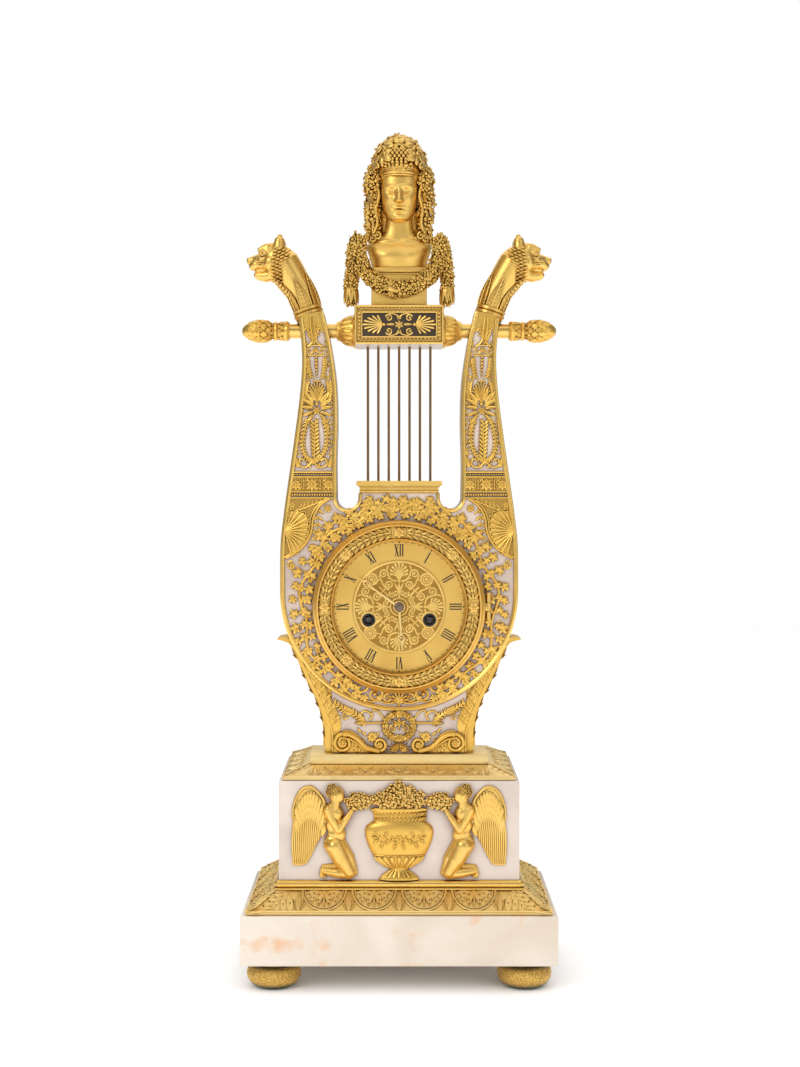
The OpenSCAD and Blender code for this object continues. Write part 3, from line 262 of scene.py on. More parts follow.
# Base moulding: a cast frame that slopes in from the slab to the plinth, chased with hanging
# half-round medallions, leaf darts and corner acanthus, under a burnished half-round band.
def sloped(half, front, back, z, h, run, lip):
    bm = bmesh.new()
    bmesh.ops.create_cube(bm, size=1)
    bmesh.ops.scale(bm, vec=(2 * half, back - front, lip), verts=bm.verts)
    bmesh.ops.translate(bm, vec=(0, (front + back) / 2, z + lip / 2), verts=bm.verts)
    roof = [f for f in bm.faces if f.normal.z > 0.9]
    raised = bmesh.ops.extrude_face_region(bm, geom=roof)
    bmesh.ops.delete(bm, geom=roof, context="FACES")
    for v in (g for g in raised["geom"] if isinstance(g, bmesh.types.BMVert)):
        v.co.z += h - lip
        v.co.x -= math.copysign(run, v.co.x)
        if v.co.y < 0:
            v.co.y += run
    bmesh.ops.bevel(bm, geom=bm.edges[:], offset=0.3, offset_type="OFFSET", affect="EDGES", segments=2,
                    profile=0.5, material=-1, clamp_overlap=True)
    return as_mesh(bm)


def leaf_form(groove, tip, height=0.13, width=0.22):
    bm = bmesh.new()
    bmesh.ops.create_uvsphere(bm, u_segments=8, v_segments=6, radius=1)
    bmesh.ops.rotate(bm, verts=bm.verts, cent=(0, 0, 0), matrix=Matrix.Rotation(math.pi / 2, 3, "Y"))
    for v in bm.verts:
        x, y, z = v.co
        t = (x + 1) / 2
        swell = (1 - t) ** tip * 1.25 + 0.12 if t > 0.35 else 1
        crown = height * (1 - groove * max(0, 1 - abs(y) * 2.6)) if z > 0 else height * 0.35
        v.co = (t, y * width * swell, z * crown * (1.15 - 0.4 * t))
    return as_mesh(bm, "leaf")


leaf_cast = leaf_form(0.6, 0.9)
petal_cast = leaf_form(0.35, 0.35, 0.2, 0.34)
bead_bm = bmesh.new()
bmesh.ops.create_uvsphere(bead_bm, u_segments=8, v_segments=5, radius=1)
bead_cast = as_mesh(bead_bm, "bead")


def tile(base, x, y, turn=0, size=1, width=1, lift=1, up=0):
    return (base @ Matrix.Translation((x, y, up)) @ Matrix.Rotation(math.radians(turn), 4, "Z")
            @ Matrix.Diagonal((size, size * width, size * lift, 1)))


def leaf(bm, base, x, y, turn, size, width=1, lift=1, up=0):
    put(bm, leaf_cast, tile(base, x, y, turn, size, width, lift, up))


def bead(bm, base, x, y, r, up=0, lift=1):
    put(bm, bead_cast, tile(base, x, y, 0, r, 1, lift, up))


def smooth_path(points, steps=6):
    spots = [Vector(p).to_3d() for p in points]
    path = []
    for i in range(len(spots) - 1):
        a, b, c, d = spots[max(i - 1, 0)], spots[i], spots[i + 1], spots[min(i + 2, len(spots) - 1)]
        for k in range(steps):
            t = k / steps
            path.append(0.5 * (2 * b + (c - a) * t + (2 * a - 5 * b + 4 * c - d) * t * t
                               + (3 * b - a - 3 * c + d) * t ** 3))
    return path + [spots[-1]]


def strand(bm, base, points, radius, end=None, sides=8, flat=1.0, out=(0, 0, 1)):
    out = Vector(out)
    last = len(points) - 1
    if not isinstance(radius, list):
        end = radius if end is None else end
        radius = [radius + (end - radius) * i / last for i in range(last + 1)]
    rod = bmesh.new()
    rings = []
    for i, p in enumerate(points):
        along = (points[min(i + 1, last)] - points[max(i - 1, 0)]).normalized()
        side = along.cross(out).normalized()
        rise = side.cross(along).normalized()
        r = radius[i]
        turn = Matrix((side * r, rise * r * flat, along)).transposed().to_4x4()
        ring = bmesh.ops.create_circle(rod, cap_ends=i in (0, last), radius=1, segments=sides,
                                       matrix=Matrix.Translation(p) @ turn)["verts"]
        rings.append(list(dict.fromkeys(e for v in ring for e in v.link_edges)))
    for a, b in zip(rings, rings[1:]):
        bmesh.ops.bridge_loops(rod, edges=a + b)
    mesh = as_mesh(rod, "strand")
    put(bm, mesh, base)
    bpy.data.meshes.remove(mesh)


def bar(bm, base, start, end, rod, sides=8):
    strand(bm, base, [Vector(start), Vector(end)], rod, sides=sides)


def flat_path(points, steps=6, up=0.4):
    return smooth_path([(x, y, up) for x, y in points], steps)


def rosette(bm, base, x, y, r, petals=6, turn=0, up=0):
    for k in range(petals):
        put(bm, petal_cast, tile(base, x, y, turn + k * 360 / petals, r, 0.9, 0.8, up))
    for k in range(petals):
        put(bm, petal_cast, tile(base, x, y, turn + (k + 0.5) * 360 / petals, r * 0.62, 0.8, 1.4, up))
    bead(bm, base, x, y, r * 0.26, up + r * 0.14)


def swung(turn, side):
    return turn if side > 0 else 180 - turn


def plane(origin, across, up):
    u, v = Vector(across).normalized(), Vector(up).normalized()
    turn = Matrix((u, v, u.cross(v))).transposed().to_4x4()
    return Matrix.Translation(origin) @ turn


# The moulding's gilding is pale, and paler still as painted light on its upward slopes.
moulding_gilt_painted_light = gilding("moulding_gilt_painted_light", (1.0, 0.79, 0.35), (1.0, 0.69, 0.235), 0.52, 0.00008, 0.0013,
                        (0.20, 0.09, 0.016), clear=0.92)
MOULDING_HALF, MOULDING_FRONT, MOULDING_BACK = 101.5, -64.5, 64.9
MOULDING_RUN, MOULDING_RISE, MOULDING_LIP = 19.5, 11.3, 2
SLOPE_LEN = math.hypot(MOULDING_RISE, MOULDING_RUN)
PEARL_PITCH = 2.6
moulding = bmesh.new()
put(moulding, sloped(MOULDING_HALF, MOULDING_FRONT, MOULDING_BACK, SLAB_TOP, MOULDING_RISE + MOULDING_LIP,
                     MOULDING_RUN, MOULDING_LIP))
mount("gilt_base_moulding", moulding, moulding_gilt_painted_light, ["base_moulding"])

BAND_X, BAND_FRONT, BAND_BACK, BAND_Z, BAND_R = 81.2, -44.2, 64.5, 67.2, 2.85
FILLET_X, FILLET_FRONT, FILLET_BACK, FILLET_Z = 83.5, -46.5, 64, 64.3
upright = Matrix.Identity(4)
half_round = bmesh.new()
band_path = [(-BAND_X, BAND_BACK, BAND_Z), (-BAND_X, BAND_FRONT, BAND_Z), (BAND_X, BAND_FRONT, BAND_Z),
             (BAND_X, BAND_BACK, BAND_Z)]
for a, b in zip(band_path, band_path[1:]):
    bar(half_round, upright, a, b, BAND_R, 20)
for corner in band_path[1:3]:
    put(half_round, bead_cast, Matrix.Translation(corner) @ Matrix.Scale(BAND_R, 4))
bar(half_round, upright, (-FILLET_X, FILLET_FRONT, FILLET_Z), (FILLET_X, FILLET_FRONT, FILLET_Z), 0.9, 10)
for x in (-FILLET_X, FILLET_X):
    bar(half_round, upright, (x, FILLET_FRONT, FILLET_Z), (x, FILLET_BACK, FILLET_Z), 0.9, 10)
mount("gilt_half_round_band", half_round, bright_gilt)


# Each drilled hole is drawn as a small dark bead of painted shade.
def drilled(x, y):
    bead(drill_marks, slope_base, x, y, 0.46, 1.36, 0.5)


def lunette(bm, base, x):
    for r, rod in ((14.6, 0.75), (12.9, 0.5)):
        arch = [Vector((x + r * math.cos(a), SLOPE_LEN - 0.8 - r * 1.38 * math.sin(a), 0.3))
                for a in (math.pi * k / 20 for k in range(21))]
        strand(bm, base, arch, rod, sides=7)
    for side in (-1, 1):
        for turn, size, along in ((-82, 16.6, 1.7), (-62, 16.0, 2.4), (-42, 14.0, 3.0), (-20, 10.8, 3.2)):
            leaf(bm, base, x + side * along, SLOPE_LEN - 1.4, swung(turn, side), size, 0.9, 0.72)
        for dx, dy in ((3.4, 6.5), (6.6, 5.4), (3.6, 11.5), (6.8, 9.6), (9.4, 7.0), (3.4, 15.2), (8.0, 12.8)):
            drilled(x + side * dx, SLOPE_LEN - dy)
    bar(bm, base, (x, SLOPE_LEN - 1, 0.5), (x, SLOPE_LEN - 18.4, 0.5), 0.65, 6)


def dart(bm, base, x):
    for turn, size in ((90, 18), (72, 12), (108, 12), (52, 8), (128, 8)):
        leaf(bm, base, x, 1.6, turn, size, 0.62, 0.9)


def chased_slope(bm, base, half_run, middles):
    for x in middles:
        lunette(bm, base, x)
    for a, b in zip(middles, middles[1:]):
        dart(bm, base, (a + b) / 2)
    for side, edge in ((-1, middles[0]), (1, middles[-1])):
        dart(bm, base, edge + side * 16.8)
        for k in range(5):
            t = 0.06 + k * 0.19
            x, y = side * (half_run - MOULDING_RUN * t - 1.0), SLOPE_LEN * t + 0.5
            for turn, size in ((122, 10.0), (148, 14.5 - 1.0 * k), (172, 17.0 - 1.8 * k)):
                leaf(bm, base, x, y, swung(turn, side), size, 1.0, 0.75)
            for reach, rise in ((5.0, 2.6), (9.6, 3.0)):
                drilled(x - side * reach, y + rise)
        for k in range(3):
            for turn, size in ((84, 17 - 2.6 * k), (58, 10), (112, 10)):
                leaf(bm, base, edge + side * (22.0 + 4.4 * k), 1.6, swung(turn, side), size, 0.95, 0.7)
            drilled(edge + side * (22.4 + 4.4 * k), 8.0 - k)
        bar(bm, base, (side * half_run, 0.3, 0.3), (side * (half_run - 19.3), SLOPE_LEN, 0.3), 0.8)
    bar(bm, base, (-half_run + 1, 0.9, 0.2), (half_run - 1, 0.9, 0.2), 0.7)
    for k in range(int(half_run * 2 / PEARL_PITCH) - 14):
        bead(bm, base, -half_run + 20 + k * PEARL_PITCH, SLOPE_LEN - 0.3, 0.75, 0.3)


slope_work = bmesh.new()
drill_marks = bmesh.new()
slope_z = SLAB_TOP + MOULDING_LIP
slope_base = plane((0, MOULDING_FRONT, slope_z), (1, 0, 0), (0, MOULDING_RUN, MOULDING_RISE))
chased_slope(slope_work, slope_base, MOULDING_HALF, [-50.1, -16.7, 16.7, 50.1])
for side in (-1, 1):
    slope_base = plane((side * MOULDING_HALF, 0, slope_z), (0, side, 0), (-side * MOULDING_RUN, 0, MOULDING_RISE))
    chased_slope(slope_work, slope_base, -MOULDING_FRONT, [-30.5, 0.5, 31.5] if side < 0 else [-31.5, -0.5, 30.5])
mount("base_moulding_chasing", slope_work, moulding_gilt_painted_light)
# The drilled holes are dark brown beads: painted shade inside the holes.
drill_hole_shade = gilding("drill_hole_shade", (0.14, 0.06, 0.012), (0.07, 0.03, 0.008), 0.5)
mount("base_moulding_drilling", drill_marks, drill_hole_shade)

# Plinth: a polished block of greyer alabaster, held down by two rods that run through it.
# The relief figures and the urn are pinned to its front.
PLINTH_HALF, PLINTH_FRONT, PLINTH_BACK, PLINTH_TOP = 81, -44, 64.5, 136.6
plinth = bmesh.new()
put(plinth, block((-PLINTH_HALF, PLINTH_FRONT, SLAB_TOP), (PLINTH_HALF, PLINTH_BACK, PLINTH_TOP), 0.7))
mount("alabaster_plinth", plinth, grey_alabaster, ["plinth_block"])

# Cap moulding and step: a low sloping frame chased with lens-shaped leaves, and on it a plain
# gilt slab that the foot of the lyre stands on.
# The cap's gilding is pale, and paler still as painted light on its slopes and step.
pale_gilt_painted_light = gilding("pale_gilt_painted_light", (1.0, 0.80, 0.40), (0.93, 0.67, 0.27), 0.42, 0.00008, 0.0014, (0.26, 0.13, 0.025),
                    clear=0.9)
CAP_HALF, CAP_FRONT, CAP_MIDDLE, CAP_HALF_DEEP = 78.5, -41.5, 11.5, 53
CAP_RUN, CAP_RISE, CAP_LIP, CAP_HEIGHT = 14.8, 5.4, 2.6, 8
CAP_SLOPE = math.hypot(CAP_RISE, CAP_RUN)
CAP_EDGE = 139.2
cap = bmesh.new()
put(cap, sloped(CAP_HALF, CAP_FRONT, PLINTH_BACK, PLINTH_TOP, CAP_HEIGHT, CAP_RUN, CAP_LIP))
mount("gilt_cap_moulding", cap, pale_gilt_painted_light, ["plinth_cap"])


def chased_cap(bm, base, half_run, count):
    margin, middle = 21, 8.0
    pitch = (2 * half_run - 2 * margin) / count
    for k in range(count):
        x = -half_run + margin + (k + 0.5) * pitch
        for turn in (0, 180):
            leaf(bm, base, x, middle, turn, 10.4, 1.5, 0.5)
        for turn in (48, 132, -48, -132):
            leaf(bm, base, x, middle, turn, 8.2, 0.9, 0.85)
        bead(bm, base, x, middle, 1.2, 0.4, 0.6)
    for k in range(count + 1):
        x = -half_run + margin + k * pitch
        for turn, size in ((90, 12.5), (66, 9.5), (114, 9.5), (42, 7), (138, 7)):
            leaf(bm, base, x, 1.2, turn, size, 0.8, 0.8)
    for side in (-1, 1):
        for k in range(4):
            t = 0.14 + k * 0.24
            for turn in (120, 155):
                leaf(bm, base, side * (half_run - CAP_RUN * t - 1.2), CAP_SLOPE * t, swung(turn, side),
                     6.6, 0.9, 0.6)
        bar(bm, base, (side * half_run, 0.2, 0.2), (side * (half_run - 14.7), CAP_SLOPE, 0.2), 0.6)
    bar(bm, base, (-half_run + 1, 0.5, 0.1), (half_run - 1, 0.5, 0.1), 0.55)


cap_work = bmesh.new()
chased_cap(cap_work, plane((0, CAP_FRONT, CAP_EDGE), (1, 0, 0), (0, CAP_RUN, CAP_RISE)), CAP_HALF, 5)
for side in (-1, 1):
    cap_end = plane((side * CAP_HALF, CAP_MIDDLE, CAP_EDGE), (0, side, 0), (-side * CAP_RUN, 0, CAP_RISE))
    chased_cap(cap_work, cap_end, CAP_HALF_DEEP, 3)
mount("cap_moulding_chasing", cap_work, pale_gilt_painted_light)
step = bmesh.new()
put(step, block((-61, -24, 144.6), (61, 16, 151.6), 0.5))
mount("gilt_step", step, pale_gilt_painted_light, ["step_slab"])

# The lyre's stone: a bowl with a short foot, and two arms that rise from its shoulders, all cut
# from slabs of the same greyish, faintly pink alabaster and polished.
# Its painted shade near the mounts is a deep brown.
lyre_alabaster = alabaster("lyre_alabaster", (0.65, 0.53, 0.445), (0.49, 0.39, 0.33), 0.15, 22, (0.075, 0.042, 0.026))


def finish_nodes(material, *nodes):
    for node in nodes:
        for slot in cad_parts[node].material_slots:
            slot.material = material


finish_nodes(lyre_alabaster, "lyre_body", "left_arm", "right_arm")

# Bezel: a heavy turned ring hinged at its right, plain and hollowed outside, with a wreath of
# flowers and laurel round the middle and a bright bead that holds the glass.
DIAL_Z = 252.5
dial_plane = plane((0, 0, DIAL_Z), (1, 0, 0), (0, 0, 1))
bezel_profile = [(45.2, 22.4), (59, 22.4), (59, 25.2), (58.6, 26.4), (57.7, 27.0), (57.0, 28.0), (56.6, 29.2),
                 (55.9, 30.0), (55.2, 30.0), (54.8, 29.2), (54.5, 28.0), (54.2, 27.5), (47.2, 27.5), (46.8, 28.8),
                 (46.4, 29.8), (45.9, 30.2), (45.5, 29.9), (45.25, 29.2), (45.2, 28.9), (45.2, 22.4)]
bezel = bmesh.new()
put(bezel, turned(bezel_profile, 128), dial_plane)
mount("gilt_bezel", bezel, chased_gilt, ["bezel"], body="bezel")
WREATH_R, WREATH_UP = 50.7, 27.7
wreath = bmesh.new()
wreath_base = dial_plane @ Matrix.Translation((0, 0, WREATH_UP))
for k in range(64):
    a = k * 5.625
    if abs((a + 22.5) % 45 - 22.5) < 5:
        continue
    toward = 1 if (a // 45) % 2 == 0 else -1
    spin = math.radians(a)
    for row in (-1, 1, 0):
        r = WREATH_R + 0.9 * row
        leaf(wreath, wreath_base, r * math.cos(spin), r * math.sin(spin), a + 90 * toward - row * toward * 33,
             7.4 if row else 6.6, 0.8, 1.5, 0.1 if row else 0.7)
    for r in (48.0, 53.5):
        bead(wreath, wreath_base, r * math.cos(spin + 0.03), r * math.sin(spin + 0.03), 0.75, 0.5)
for k in range(8):
    a = math.radians(k * 45)
    rosette(wreath, wreath_base, WREATH_R * math.cos(a), WREATH_R * math.sin(a), 4.2, 6, k * 45, 0.8)
mount("bezel_wreath", wreath, chased_gilt, body="bezel", crease=75)
hinge_leaf = bmesh.new()
put(hinge_leaf, turned([(0.86, -2.8), (1.7, -2.8), (1.7, 2.8), (0.86, 2.8), (0.86, -2.8)], 28),
    Matrix.Translation((60.9, -23.6, DIAL_Z)))
put(hinge_leaf, block((56, -25.2, DIAL_Z - 2.7), (60.1, -23.9, DIAL_Z + 2.7), 0.1))
mount("bezel_hinge_knuckle", hinge_leaf, bright_gilt, body="bezel")
finish_nodes(bright_gilt, "bezel_seat", "hinge_pins")

# Glass: a flat clear disc held behind the bezel's inner bead.
# It is thin and colourless, with faint wiping marks.
clear_glass, tree = blank("clear_glass")
coat(clear_glass, {"Base Color": (0.98, 0.99, 0.99, 1), "Transmission Weight": 1.0, "IOR": 1.08, "Alpha": 0.12,
                   "Roughness": ramp(tree, noise(tree, 30), first=0.01, last=0.06)})
finish_nodes(clear_glass, "bezel_glass")

# Dial: a matt-gilt plate with black enamelled Roman hours, a ring of minute dots, and a raised
# fillet round the middle relief. Two black-lined holes show the winding squares; their black sleeves and rims are
# painted shade.
dial_gilt = gilding("dial_gilt", (0.90, 0.60, 0.175), (0.74, 0.44, 0.095), 0.36, grain=0.00006)
finish_nodes(dial_gilt, "dial")
black_enamel_and_hole_shade, tree = blank("black_enamel_and_hole_shade")
coat(black_enamel_and_hole_shade, {"Roughness": 0.4,
                    "Base Color": tint(tree, noise(tree, 500), (0.010, 0.008, 0.007), (0.035, 0.028, 0.02))})
HOURS = ("XII", "I", "II", "III", "IIII", "V", "VI", "VII", "VIII", "IX", "X", "XI")
DIAL_FRONT = 21.5
dial_face = dial_plane @ Matrix.Translation((0, 0, DIAL_FRONT))


def stroke(bm, base, x0, y0, x1, y1, thick):
    dash = bmesh.new()
    bmesh.ops.create_cube(dash, size=1)
    length = math.hypot(x1 - x0, y1 - y0)
    bmesh.ops.scale(dash, vec=(thick, length, 0.12), verts=dash.verts)
    turn = math.degrees(math.atan2(y1 - y0, x1 - x0)) - 90
    mesh = as_mesh(dash)
    put(bm, mesh, tile(base, (x0 + x1) / 2, (y0 + y1) / 2, turn))
    bpy.data.meshes.remove(mesh)


CHAPTER_IN, CHAPTER_OUT, MINUTE_R = 34.6, 42.6, 44.0
WIDTHS = {"I": 1.7, "V": 3.1, "X": 3.3}
numerals = bmesh.new()
for hour, word in enumerate(HOURS):
    spread = sum(WIDTHS[c] for c in word)
    clock_turn = dial_face @ Matrix.Rotation(math.radians(-30 * hour), 4, "Z")
    x = -spread / 2
    for c in word:
        m = x + WIDTHS[c] / 2
        for foot, head, thick in {"I": ((0, 0, 0.86),), "V": ((0, -1.1, 0.92), (0, 1.1, 0.44)),
                                  "X": ((1.1, -1.1, 0.92), (-1.1, 1.1, 0.44))}[c]:
            stroke(numerals, clock_turn, m + foot, CHAPTER_IN, m + head, CHAPTER_OUT, thick)
        x += WIDTHS[c]
    for y in (CHAPTER_IN, CHAPTER_OUT):
        stroke(numerals, clock_turn, -spread / 2 + 0.2, y, spread / 2 - 0.2, y, 0.22)
for k in range(60):
    a = math.radians(k * 6)
    bead(numerals, dial_face, MINUTE_R * math.cos(a), MINUTE_R * math.sin(a), 0.42 if k % 5 else 0.6, 0, 0.2)
mount("black_hour_numerals", numerals, black_enamel_and_hole_shade)

# Middle relief of the dial: four palmettes, paired scrolls and double-ring rosettes, cast in one
# thin plate and pinned to the dial inside its fillet.
relief_ground = gilding("dial_relief_ground", (0.52, 0.30, 0.065), (0.38, 0.20, 0.04), 0.42, grain=0.0001)
finish_nodes(relief_ground, "dial_medallion")
WINDING_X, WINDING_Y = 20.8, -9
CORNER_R = 26.6
relief = bmesh.new()
relief_base = dial_plane @ Matrix.Translation((0, 0, 22.1)) @ Matrix.Diagonal((1, 1, 0.42, 1))
relief_gilt = gilding("dial_relief_gilt", (0.95, 0.65, 0.21), (0.84, 0.52, 0.13), 0.34, 0.00005, 0.0016,
                      (0.10, 0.042, 0.006), clear=1.0)


def scroll(bm, base, x, y, r, start, turns=1.4, hand=1, rod=0.5, sides=7):
    path = []
    for k in range(int(turns * 16) + 1):
        t = k / (turns * 16)
        a = math.radians(start) + hand * t * turns * math.tau
        path.append(Vector((x + r * (1 - 0.78 * t) * math.cos(a), y + r * (1 - 0.78 * t) * math.sin(a), 0)))
    strand(bm, base, path, rod, rod * 0.6, sides)
    bead(bm, base, x, y, r * 0.24, rod * 0.5)


def ring(bm, base, x, y, r, rod, steps=40, up=0, sides=8):
    hoop = [Vector((x + r * math.cos(math.tau * k / steps), y + r * math.sin(math.tau * k / steps), up))
            for k in range(steps + 1)]
    strand(bm, base, hoop, rod, sides=sides)


def anthemion(bm, base, x, y, turn, size, fingers=9, spread=90, rod=0.6, up=0):
    for k in range(fingers):
        share = k / (fingers - 1) * 2 - 1
        reach = size * (1 - 0.4 * abs(share) ** 1.7)
        path = [(x, y, up)]
        for t, part in ((0.55, 0.34), (1.0, 0.56)):
            a = math.radians(turn + share * spread * part)
            path.append((x + t * reach * math.cos(a), y + t * reach * math.sin(a), up + rod * (1 - t)))
        strand(bm, base, smooth_path(path, 3), rod * 0.5, rod, 6)
        bead(bm, base, path[2][0], path[2][1], rod * 1.3, up)
    bead(bm, base, x, y, size * 0.1, up + rod * 0.5)


ring(relief, relief_base, 0, 0, 31.0, 0.85, 96)
ring(relief, relief_base, 0, 0, 5.8, 0.6, 48)
for k in range(4):
    quarter = relief_base @ Matrix.Rotation(math.radians(k * 90), 4, "Z")
    anthemion(relief, quarter, 18.0, 0, 0, 11.6, 9, 90, 0.78)
    anthemion(relief, quarter, 12.5, 0, 180, 5.6, 5, 90, 0.6)
    for turn in (30, -30, 0):
        leaf(relief, quarter, 10.6, 0, turn, 7.6, 0.75, 1.2, 0.1)
    for side in (-1, 1):
        scroll(relief, quarter, 15.0, side * 6.6, 3.1, side * 170, 1.5, -side, 0.78)
        scroll(relief, quarter, 22.6, side * 10.6, 3.3, side * -120, 1.5, side, 0.8)
        scroll(relief, quarter, 8.6, side * 4.6, 2.3, side * 40, 1.3, side, 0.62)
        strand(relief, quarter, smooth_path([(17.6, side * 1.4), (18.6, side * 5.2), (21.4, side * 7.0),
                                             (25.4, side * 8.2)]), 0.7, 0.5)
        strand(relief, quarter, smooth_path([(12, side * 6.4), (14.4, side * 10.4), (18.4, side * 12.2),
                                             (21.6, side * 14.0)]), 0.7, 0.45)
        strand(relief, quarter, smooth_path([(7.4, side * 7.2), (10.2, side * 10.2), (13.6, side * 13.4)]), 0.6, 0.4)
        for x, y, turn, size in ((25.4, 8.4, -18, 4.4), (18.6, 12.4, 100, 3.6), (19.0, 5.4, 74, 3.6),
                                 (12.8, 9.4, 150, 3.8), (27.4, 12.0, 20, 3.0)):
            leaf(relief, quarter, x, side * y, side * turn, size, 0.9, 1.4, 0.1)
for turn in (45, 135, 222, 318):
    a = math.radians(turn)
    spot = (CORNER_R * math.cos(a), CORNER_R * math.sin(a))
    for r, rod in ((3.9, 0.72), (2.4, 0.5)):
        ring(relief, relief_base, *spot, r, rod, 28)
    rosette(relief, relief_base, *spot, 1.7, 6)
pierced = [v for v in relief.verts if math.hypot(abs(v.co.x) - WINDING_X, v.co.z - DIAL_Z - WINDING_Y) < 5.0]
bmesh.ops.delete(relief, geom=pierced, context="VERTS")
for side in (-1, 1):
    ring(relief, relief_base, side * WINDING_X, WINDING_Y, 5.1, 0.75, 40)
mount("dial_relief", relief, relief_gilt)
# The black sleeves and rims in the winding holes are painted shade.
hole_shade = bmesh.new()
for side in (-1, 1):
    put(hole_shade, turned([(2.5, -1.4), (3.98, -1.4), (3.98, 0.5), (4.7, 0.5), (4.7, 0.8), (4.1, 1.05), (3.5, 0.8),
                            (2.5, -1.4)], 40),
        dial_face @ Matrix.Translation((side * WINDING_X, WINDING_Y, 0)))
mount("winding_hole_rims", hole_shade, black_enamel_and_hole_shade)

# Hands: fretted gilt blades with a moon ring near the tip, pressed on their pipes at nine minutes
# to six. The minute hand lies in front, under a small round nut.
def hand(bm, base, length, hub, bore):
    put(bm, turned([(bore, 0), (hub, 0), (hub, 0.5), (hub - 0.5, 0.8), (bore, 0.8), (bore, 0)], 40), base)
    moon = length * 0.72
    ring(bm, base, 0, moon, 2.1, 0.42, 32, 0.4)
    ring(bm, base, 0, moon + 0.5, 1.3, 0.3, 24, 0.4)
    strand(bm, base, [Vector((0, y, 0.4)) for y in (hub - 0.6, length * 0.36, moon - 1.9)], 0.95, 0.6, 10, 0.42)
    strand(bm, base, [Vector((0, y, 0.4)) for y in (moon + 1.9, moon + 3.4, length)], 0.85, 0.12, 10, 0.45)
    for side in (-1, 1):
        leaf(bm, base, 0, moon + 2, 90 - side * 42, 2.6, 0.9, 0.8, 0.4)
        leaf(bm, base, 0, moon - 2, -90 + side * 42, 2.6, 0.9, 0.8, 0.4)


hand_gilt = gilding("hand_gilt", (0.96, 0.72, 0.30), (0.86, 0.56, 0.17), 0.3, grain=0.00002, hollow=0.001)
for word, up, turn, size, body in (("hour", 22.8, -175.5, (30, 4, 2.66), "hour_wheel"),
                                   ("minute", 24.4, -306, (38, 3.4, 1.66), "centre_arbor")):
    blade = bmesh.new()
    hand(blade, dial_plane @ Matrix.Translation((0, 0, up)) @ Matrix.Rotation(math.radians(turn), 4, "Z"), *size)
    mount(f"gilt_{word}_hand", blade, hand_gilt, [f"{word}_hand"], body=body)

# Hand nut: a small domed steel nut, browned by age, that holds the minute hand on its square.
# It is turned in one piece, with a rounded rim.
nut = bmesh.new()
put(nut, turned([(1.2, 25.25), (3.3, 25.25), (3.4, 25.9), (2.9, 26.5), (1.9, 26.8), (0, 26.85)], 40), dial_plane)
nut_steel = gilding("browned_steel", (0.30, 0.21, 0.15), (0.17, 0.115, 0.085), 0.34, 0.00004, 0.001)
mount("steel_hand_nut", nut, nut_steel, body="centre_arbor")

# Drum and movement: a spun brass case with a hinged back, and inside it the plates, barrels, wheels,
# bell and pendulum of an eight-day striking clock. The brass is lacquered, the steel polished or blued.
def turned_metal(name, light, deep, rough, metal=1.0):
    material, tree = blank(name)
    cloud = noise(tree, 45, 5)
    return coat(material, {"Metallic": metal, "Base Color": tint(tree, cloud, deep, light),
                           "Roughness": ramp(tree, cloud, first=rough - 0.07, last=rough + 0.12),
                           "Normal": dents(tree, noise(tree, 900), 0.25, 0.00004)})


lacquered_brass = turned_metal("lacquered_brass", (0.82, 0.62, 0.27), (0.66, 0.46, 0.17), 0.3)
dark_steel = turned_metal("polished_steel", (0.46, 0.47, 0.50), (0.30, 0.31, 0.34), 0.26)
bell_bronze = turned_metal("bell_bronze", (0.72, 0.58, 0.32), (0.55, 0.40, 0.19), 0.24)
finish_nodes(lacquered_brass, "drum", "rear_cover", "front_plate", "back_plate", "plate_pillars", "going_barrel",
             "strike_barrel", "second_wheel", "centre_wheel", "third_wheel", "escape_wheel", "minute_wheel",
             "hour_wheel", "pendulum", "suspension_cock", "strike_wheel", "pin_wheel", "fly", "bell_stand")
finish_nodes(dark_steel, "tie_rods", "anchor", "hammer")
# The winding squares are blued steel, kept near black to paint the shade of the holes they sit in.
winder_steel_and_hole_shade = turned_metal("blued_steel_and_hole_shade", (0.12, 0.12, 0.13), (0.03, 0.03, 0.04), 0.2)
finish_nodes(winder_steel_and_hole_shade, "going_winder", "strike_winder")
finish_nodes(bell_bronze, "bell")

# Kneeling genii: two cast and chased winged youths in low relief, pinned to the plinth on either
# side of the urn and lifting bunches of flowers. Bodies are smooth, feathers and curls cut with a tool.
GOLDEN_TURN = 2.399963
stone_face = plane((0, PLINTH_FRONT, 0), (1, 0, 0), (0, 0, 1))


def fuse(bm, voxel, rounds):
    rough = bpy.data.objects.new("rough_cast", as_mesh(bm))
    scene.collection.objects.link(rough)
    melt = rough.modifiers.new("melt", "REMESH")
    melt.mode = "VOXEL"
    melt.voxel_size = voxel
    ease = rough.modifiers.new("ease", "SMOOTH")
    ease.factor = 0.5
    ease.iterations = rounds
    graph = bpy.context.evaluated_depsgraph_get()
    graph.update()
    cast = bpy.data.meshes.new_from_object(rough.evaluated_get(graph))
    bpy.data.objects.remove(rough)
    return cast


def lump(bm, base, x, y, up, rx, ry=None, rz=None, turn=0):
    ry = rx if ry is None else ry
    put(bm, ball_cast, base @ Matrix.Translation((x, y, up)) @ Matrix.Rotation(math.radians(turn), 4, "Z")
        @ Matrix.Diagonal((rx, ry, rx if rz is None else rz, 1)))


def limb(bm, base, points, radii):
    strand(bm, base, [Vector(p) for p in points], list(radii), sides=26)
    for p, r in zip(points, radii):
        lump(bm, base, *p, r)


def model(bm, base, rows):
    for row in rows:
        (limb if isinstance(row[0], list) else lump)(bm, base, *row)


def mirrored(base, side):
    return base @ Matrix.Diagonal((side, 1, 1, 1))


